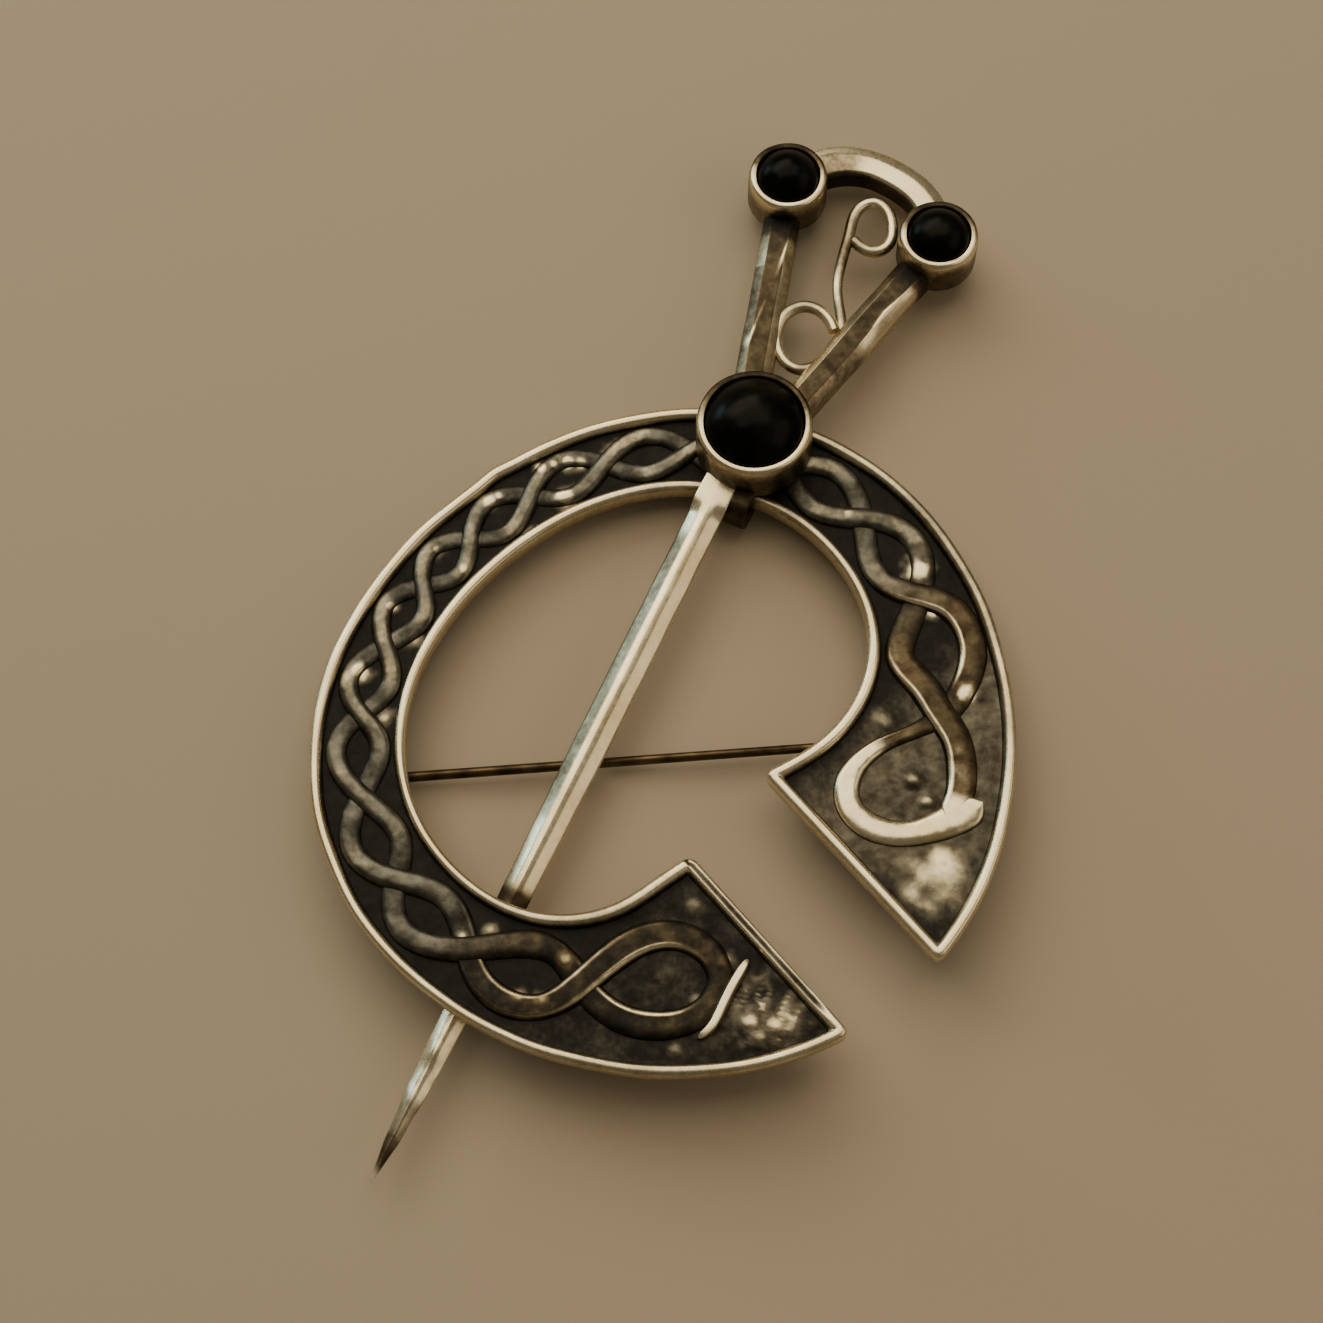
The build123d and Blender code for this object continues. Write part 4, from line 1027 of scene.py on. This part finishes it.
# X and Y of the wire's middle line: the upper eye, the straight stretch and the lower eye
SCROLL = [
    (16.60, 37.20), (17.25, 36.45), (18.20, 36.10), (19.15, 36.60), (19.60, 37.85), (19.45, 39.25),
    (18.65, 40.20), (17.55, 40.05), (16.75, 39.00), (16.35, 37.75), (15.95, 36.60), (15.50, 35.30),
    (15.10, 33.80), (14.98, 32.30), (15.05, 30.90), (14.90, 29.40), (14.15, 28.00), (12.95, 27.05),
    (11.70, 26.75), (10.60, 27.50), (10.15, 28.90), (10.40, 30.40), (11.25, 31.50), (12.45, 31.80),
    (13.50, 31.35), (14.20, 30.40), (14.45, 29.60),
]
along_wire = np.linspace(0, 1, 260)
scroll_line = smooth(SCROLL, along_wire)
scroll_path = np.column_stack([scroll_line, scroll_level + 0.25 * ease((along_wire - 0.75) / 0.2)])
wire_here = scroll_wire * (1 - 0.14 * bell(along_wire, 0.5, 0.16))
scroll_wear = 0.74 + 0.30 * np.clip(lumps(along_wire * 40, 0, 3.0, 71), -0.6, 1)
scroll_rings = sweep(scroll_path, round_wire, wire_here, wire_here)
make_piece("pin_scroll", [tube(scroll_rings, scroll_wear)], silver, "dress_pin")

# %% [markdown]
# ## Stem and rivet
# The fastening stem and its rivet are nickel silver wire, darkened by handling to a warm brown, with
# lighter patches where they were rubbed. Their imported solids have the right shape, so they stay and only
# get this metal.

# %% Tarnished wire
def tarnished_wire():
    """Drawn nickel silver wire with a brown tarnish, rubbed lighter and smoother here and there."""
    material, surface = new_material("tarnished_nickel_silver")
    place = add(material, "TexCoord", output="Object")
    patches, grain = (add(material, "TexNoise", NOISE, (place, 1 / (size * millimetre), 3, 0.5))
                      for size in (2.2, 0.15))
    patches = add(material, "MapRange", RANGE, (patches, 0.35, 0.65, 0, 1))
    dull = add(material, "MapRange", RANGE, (patches, 0, 1, 0.42, 0.28))
    colours = hex_linear("#30261A"), hex_linear("#65553E")
    colour = add(material, "Mix", MIX, (patches, *colours), 2, data_type="RGBA")
    bump = add(material, "Bump", BUMP, (grain, 0.2, 0.04 * millimetre))
    connect(material, surface, {"Base Color": colour, "Metallic": 0.9, "Roughness": dull, "Normal": bump})
    return material


wire_metal = tarnished_wire()
for name in ("stem", "hinge_rivet"):
    node_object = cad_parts[name]
    node_object.data.materials.clear()
    node_object.data.materials.append(wire_metal)
print("metal given to stem and rivet")

# %% [markdown]
# ## Table, light and camera
# The brooch lies on a plain pale table. Polished silver shows what stands round it, so the light is a few
# large soft panels in a dim warm room: a ceiling that the flats mirror, a broad window beyond the head,
# which brightens every slope that leans that way, a low cool window with a small bright gap in it on the
# left, and a dimmer warm wall on the right. The cool window and the warm wall each tint one facet of the
# shaft.

# %% Table
# A matt board under the brooch: one even warm tone, on which only the soft shadows show
table_size = 3.0
bpy.ops.mesh.primitive_plane_add(size=table_size, location=(0, 0, 0))
table = bpy.context.object
table.name = "table"
table_paint, table_surface = new_material("pale_matt_table")
connect(table_paint, table_surface, {"Base Color": hex_linear("#B3A48F"), "Roughness": 0.7})
table.data.materials.append(table_paint)
print("table, m:", table_size)


# %% Light
def panel(name, azimuth, elevation, distance, size, brightness, colour):
    """A flat soft light that faces the brooch. Its power is brightness times pi times its area."""
    data = bpy.data.lights.new(name, "AREA")
    data.shape, data.size, data.size_y = "RECTANGLE", *size
    data.energy, data.color = brightness * pi * size[0] * size[1], hex_linear(colour)[:3]
    light = bpy.data.objects.new(name, data)
    turn, lift = radians(azimuth), radians(elevation)
    light.location = [distance * way for way in (cos(lift) * cos(turn), cos(lift) * sin(turn), sin(lift))]
    light.rotation_euler = (-light.location).to_track_quat("-Z", "Y").to_euler()
    bpy.context.scene.collection.objects.link(light)


panel("ceiling", 94, 66, 0.9, (1.1, 0.62), 1.9, "#FFF0D0")
panel("broad_window", 110, 38, 0.5, (0.50, 0.20), 3.0, "#FFF0D4")
panel("cool_window", 134, 12, 0.9, (0.55, 0.30), 0.42, "#CADBE2")
panel("cool_gap", 140, 13, 0.8, (0.26, 0.18), 4.3, "#B8E2EE")
panel("warm_wall", -10, 37, 0.9, (0.8, 0.45), 0.90, "#FFE8C8")
room = bpy.data.worlds.new("room")
room.use_nodes = True
connect(room, room.node_tree.nodes["Background"], {"Color": hex_linear("#B8AE98"), "Strength": 0.30})
bpy.context.scene.world = room
print("lights:", [light.name for light in bpy.data.lights])

# %% Camera
camera_data = bpy.data.cameras.new("camera")
camera_data.lens, camera_data.sensor_width = 68.03, 36.0
camera_data.clip_start, camera_data.clip_end = 0.01, 10.0
camera = bpy.data.objects.new("camera", camera_data)
camera.location = (-0.001478, -0.050521, 0.175257)
camera.rotation_euler = (radians(15.652), radians(0.742), radians(-4.096))
bpy.context.scene.collection.objects.link(camera)
bpy.context.scene.camera = camera
print("camera's height, mm:", round(camera.location.z / millimetre, 1))
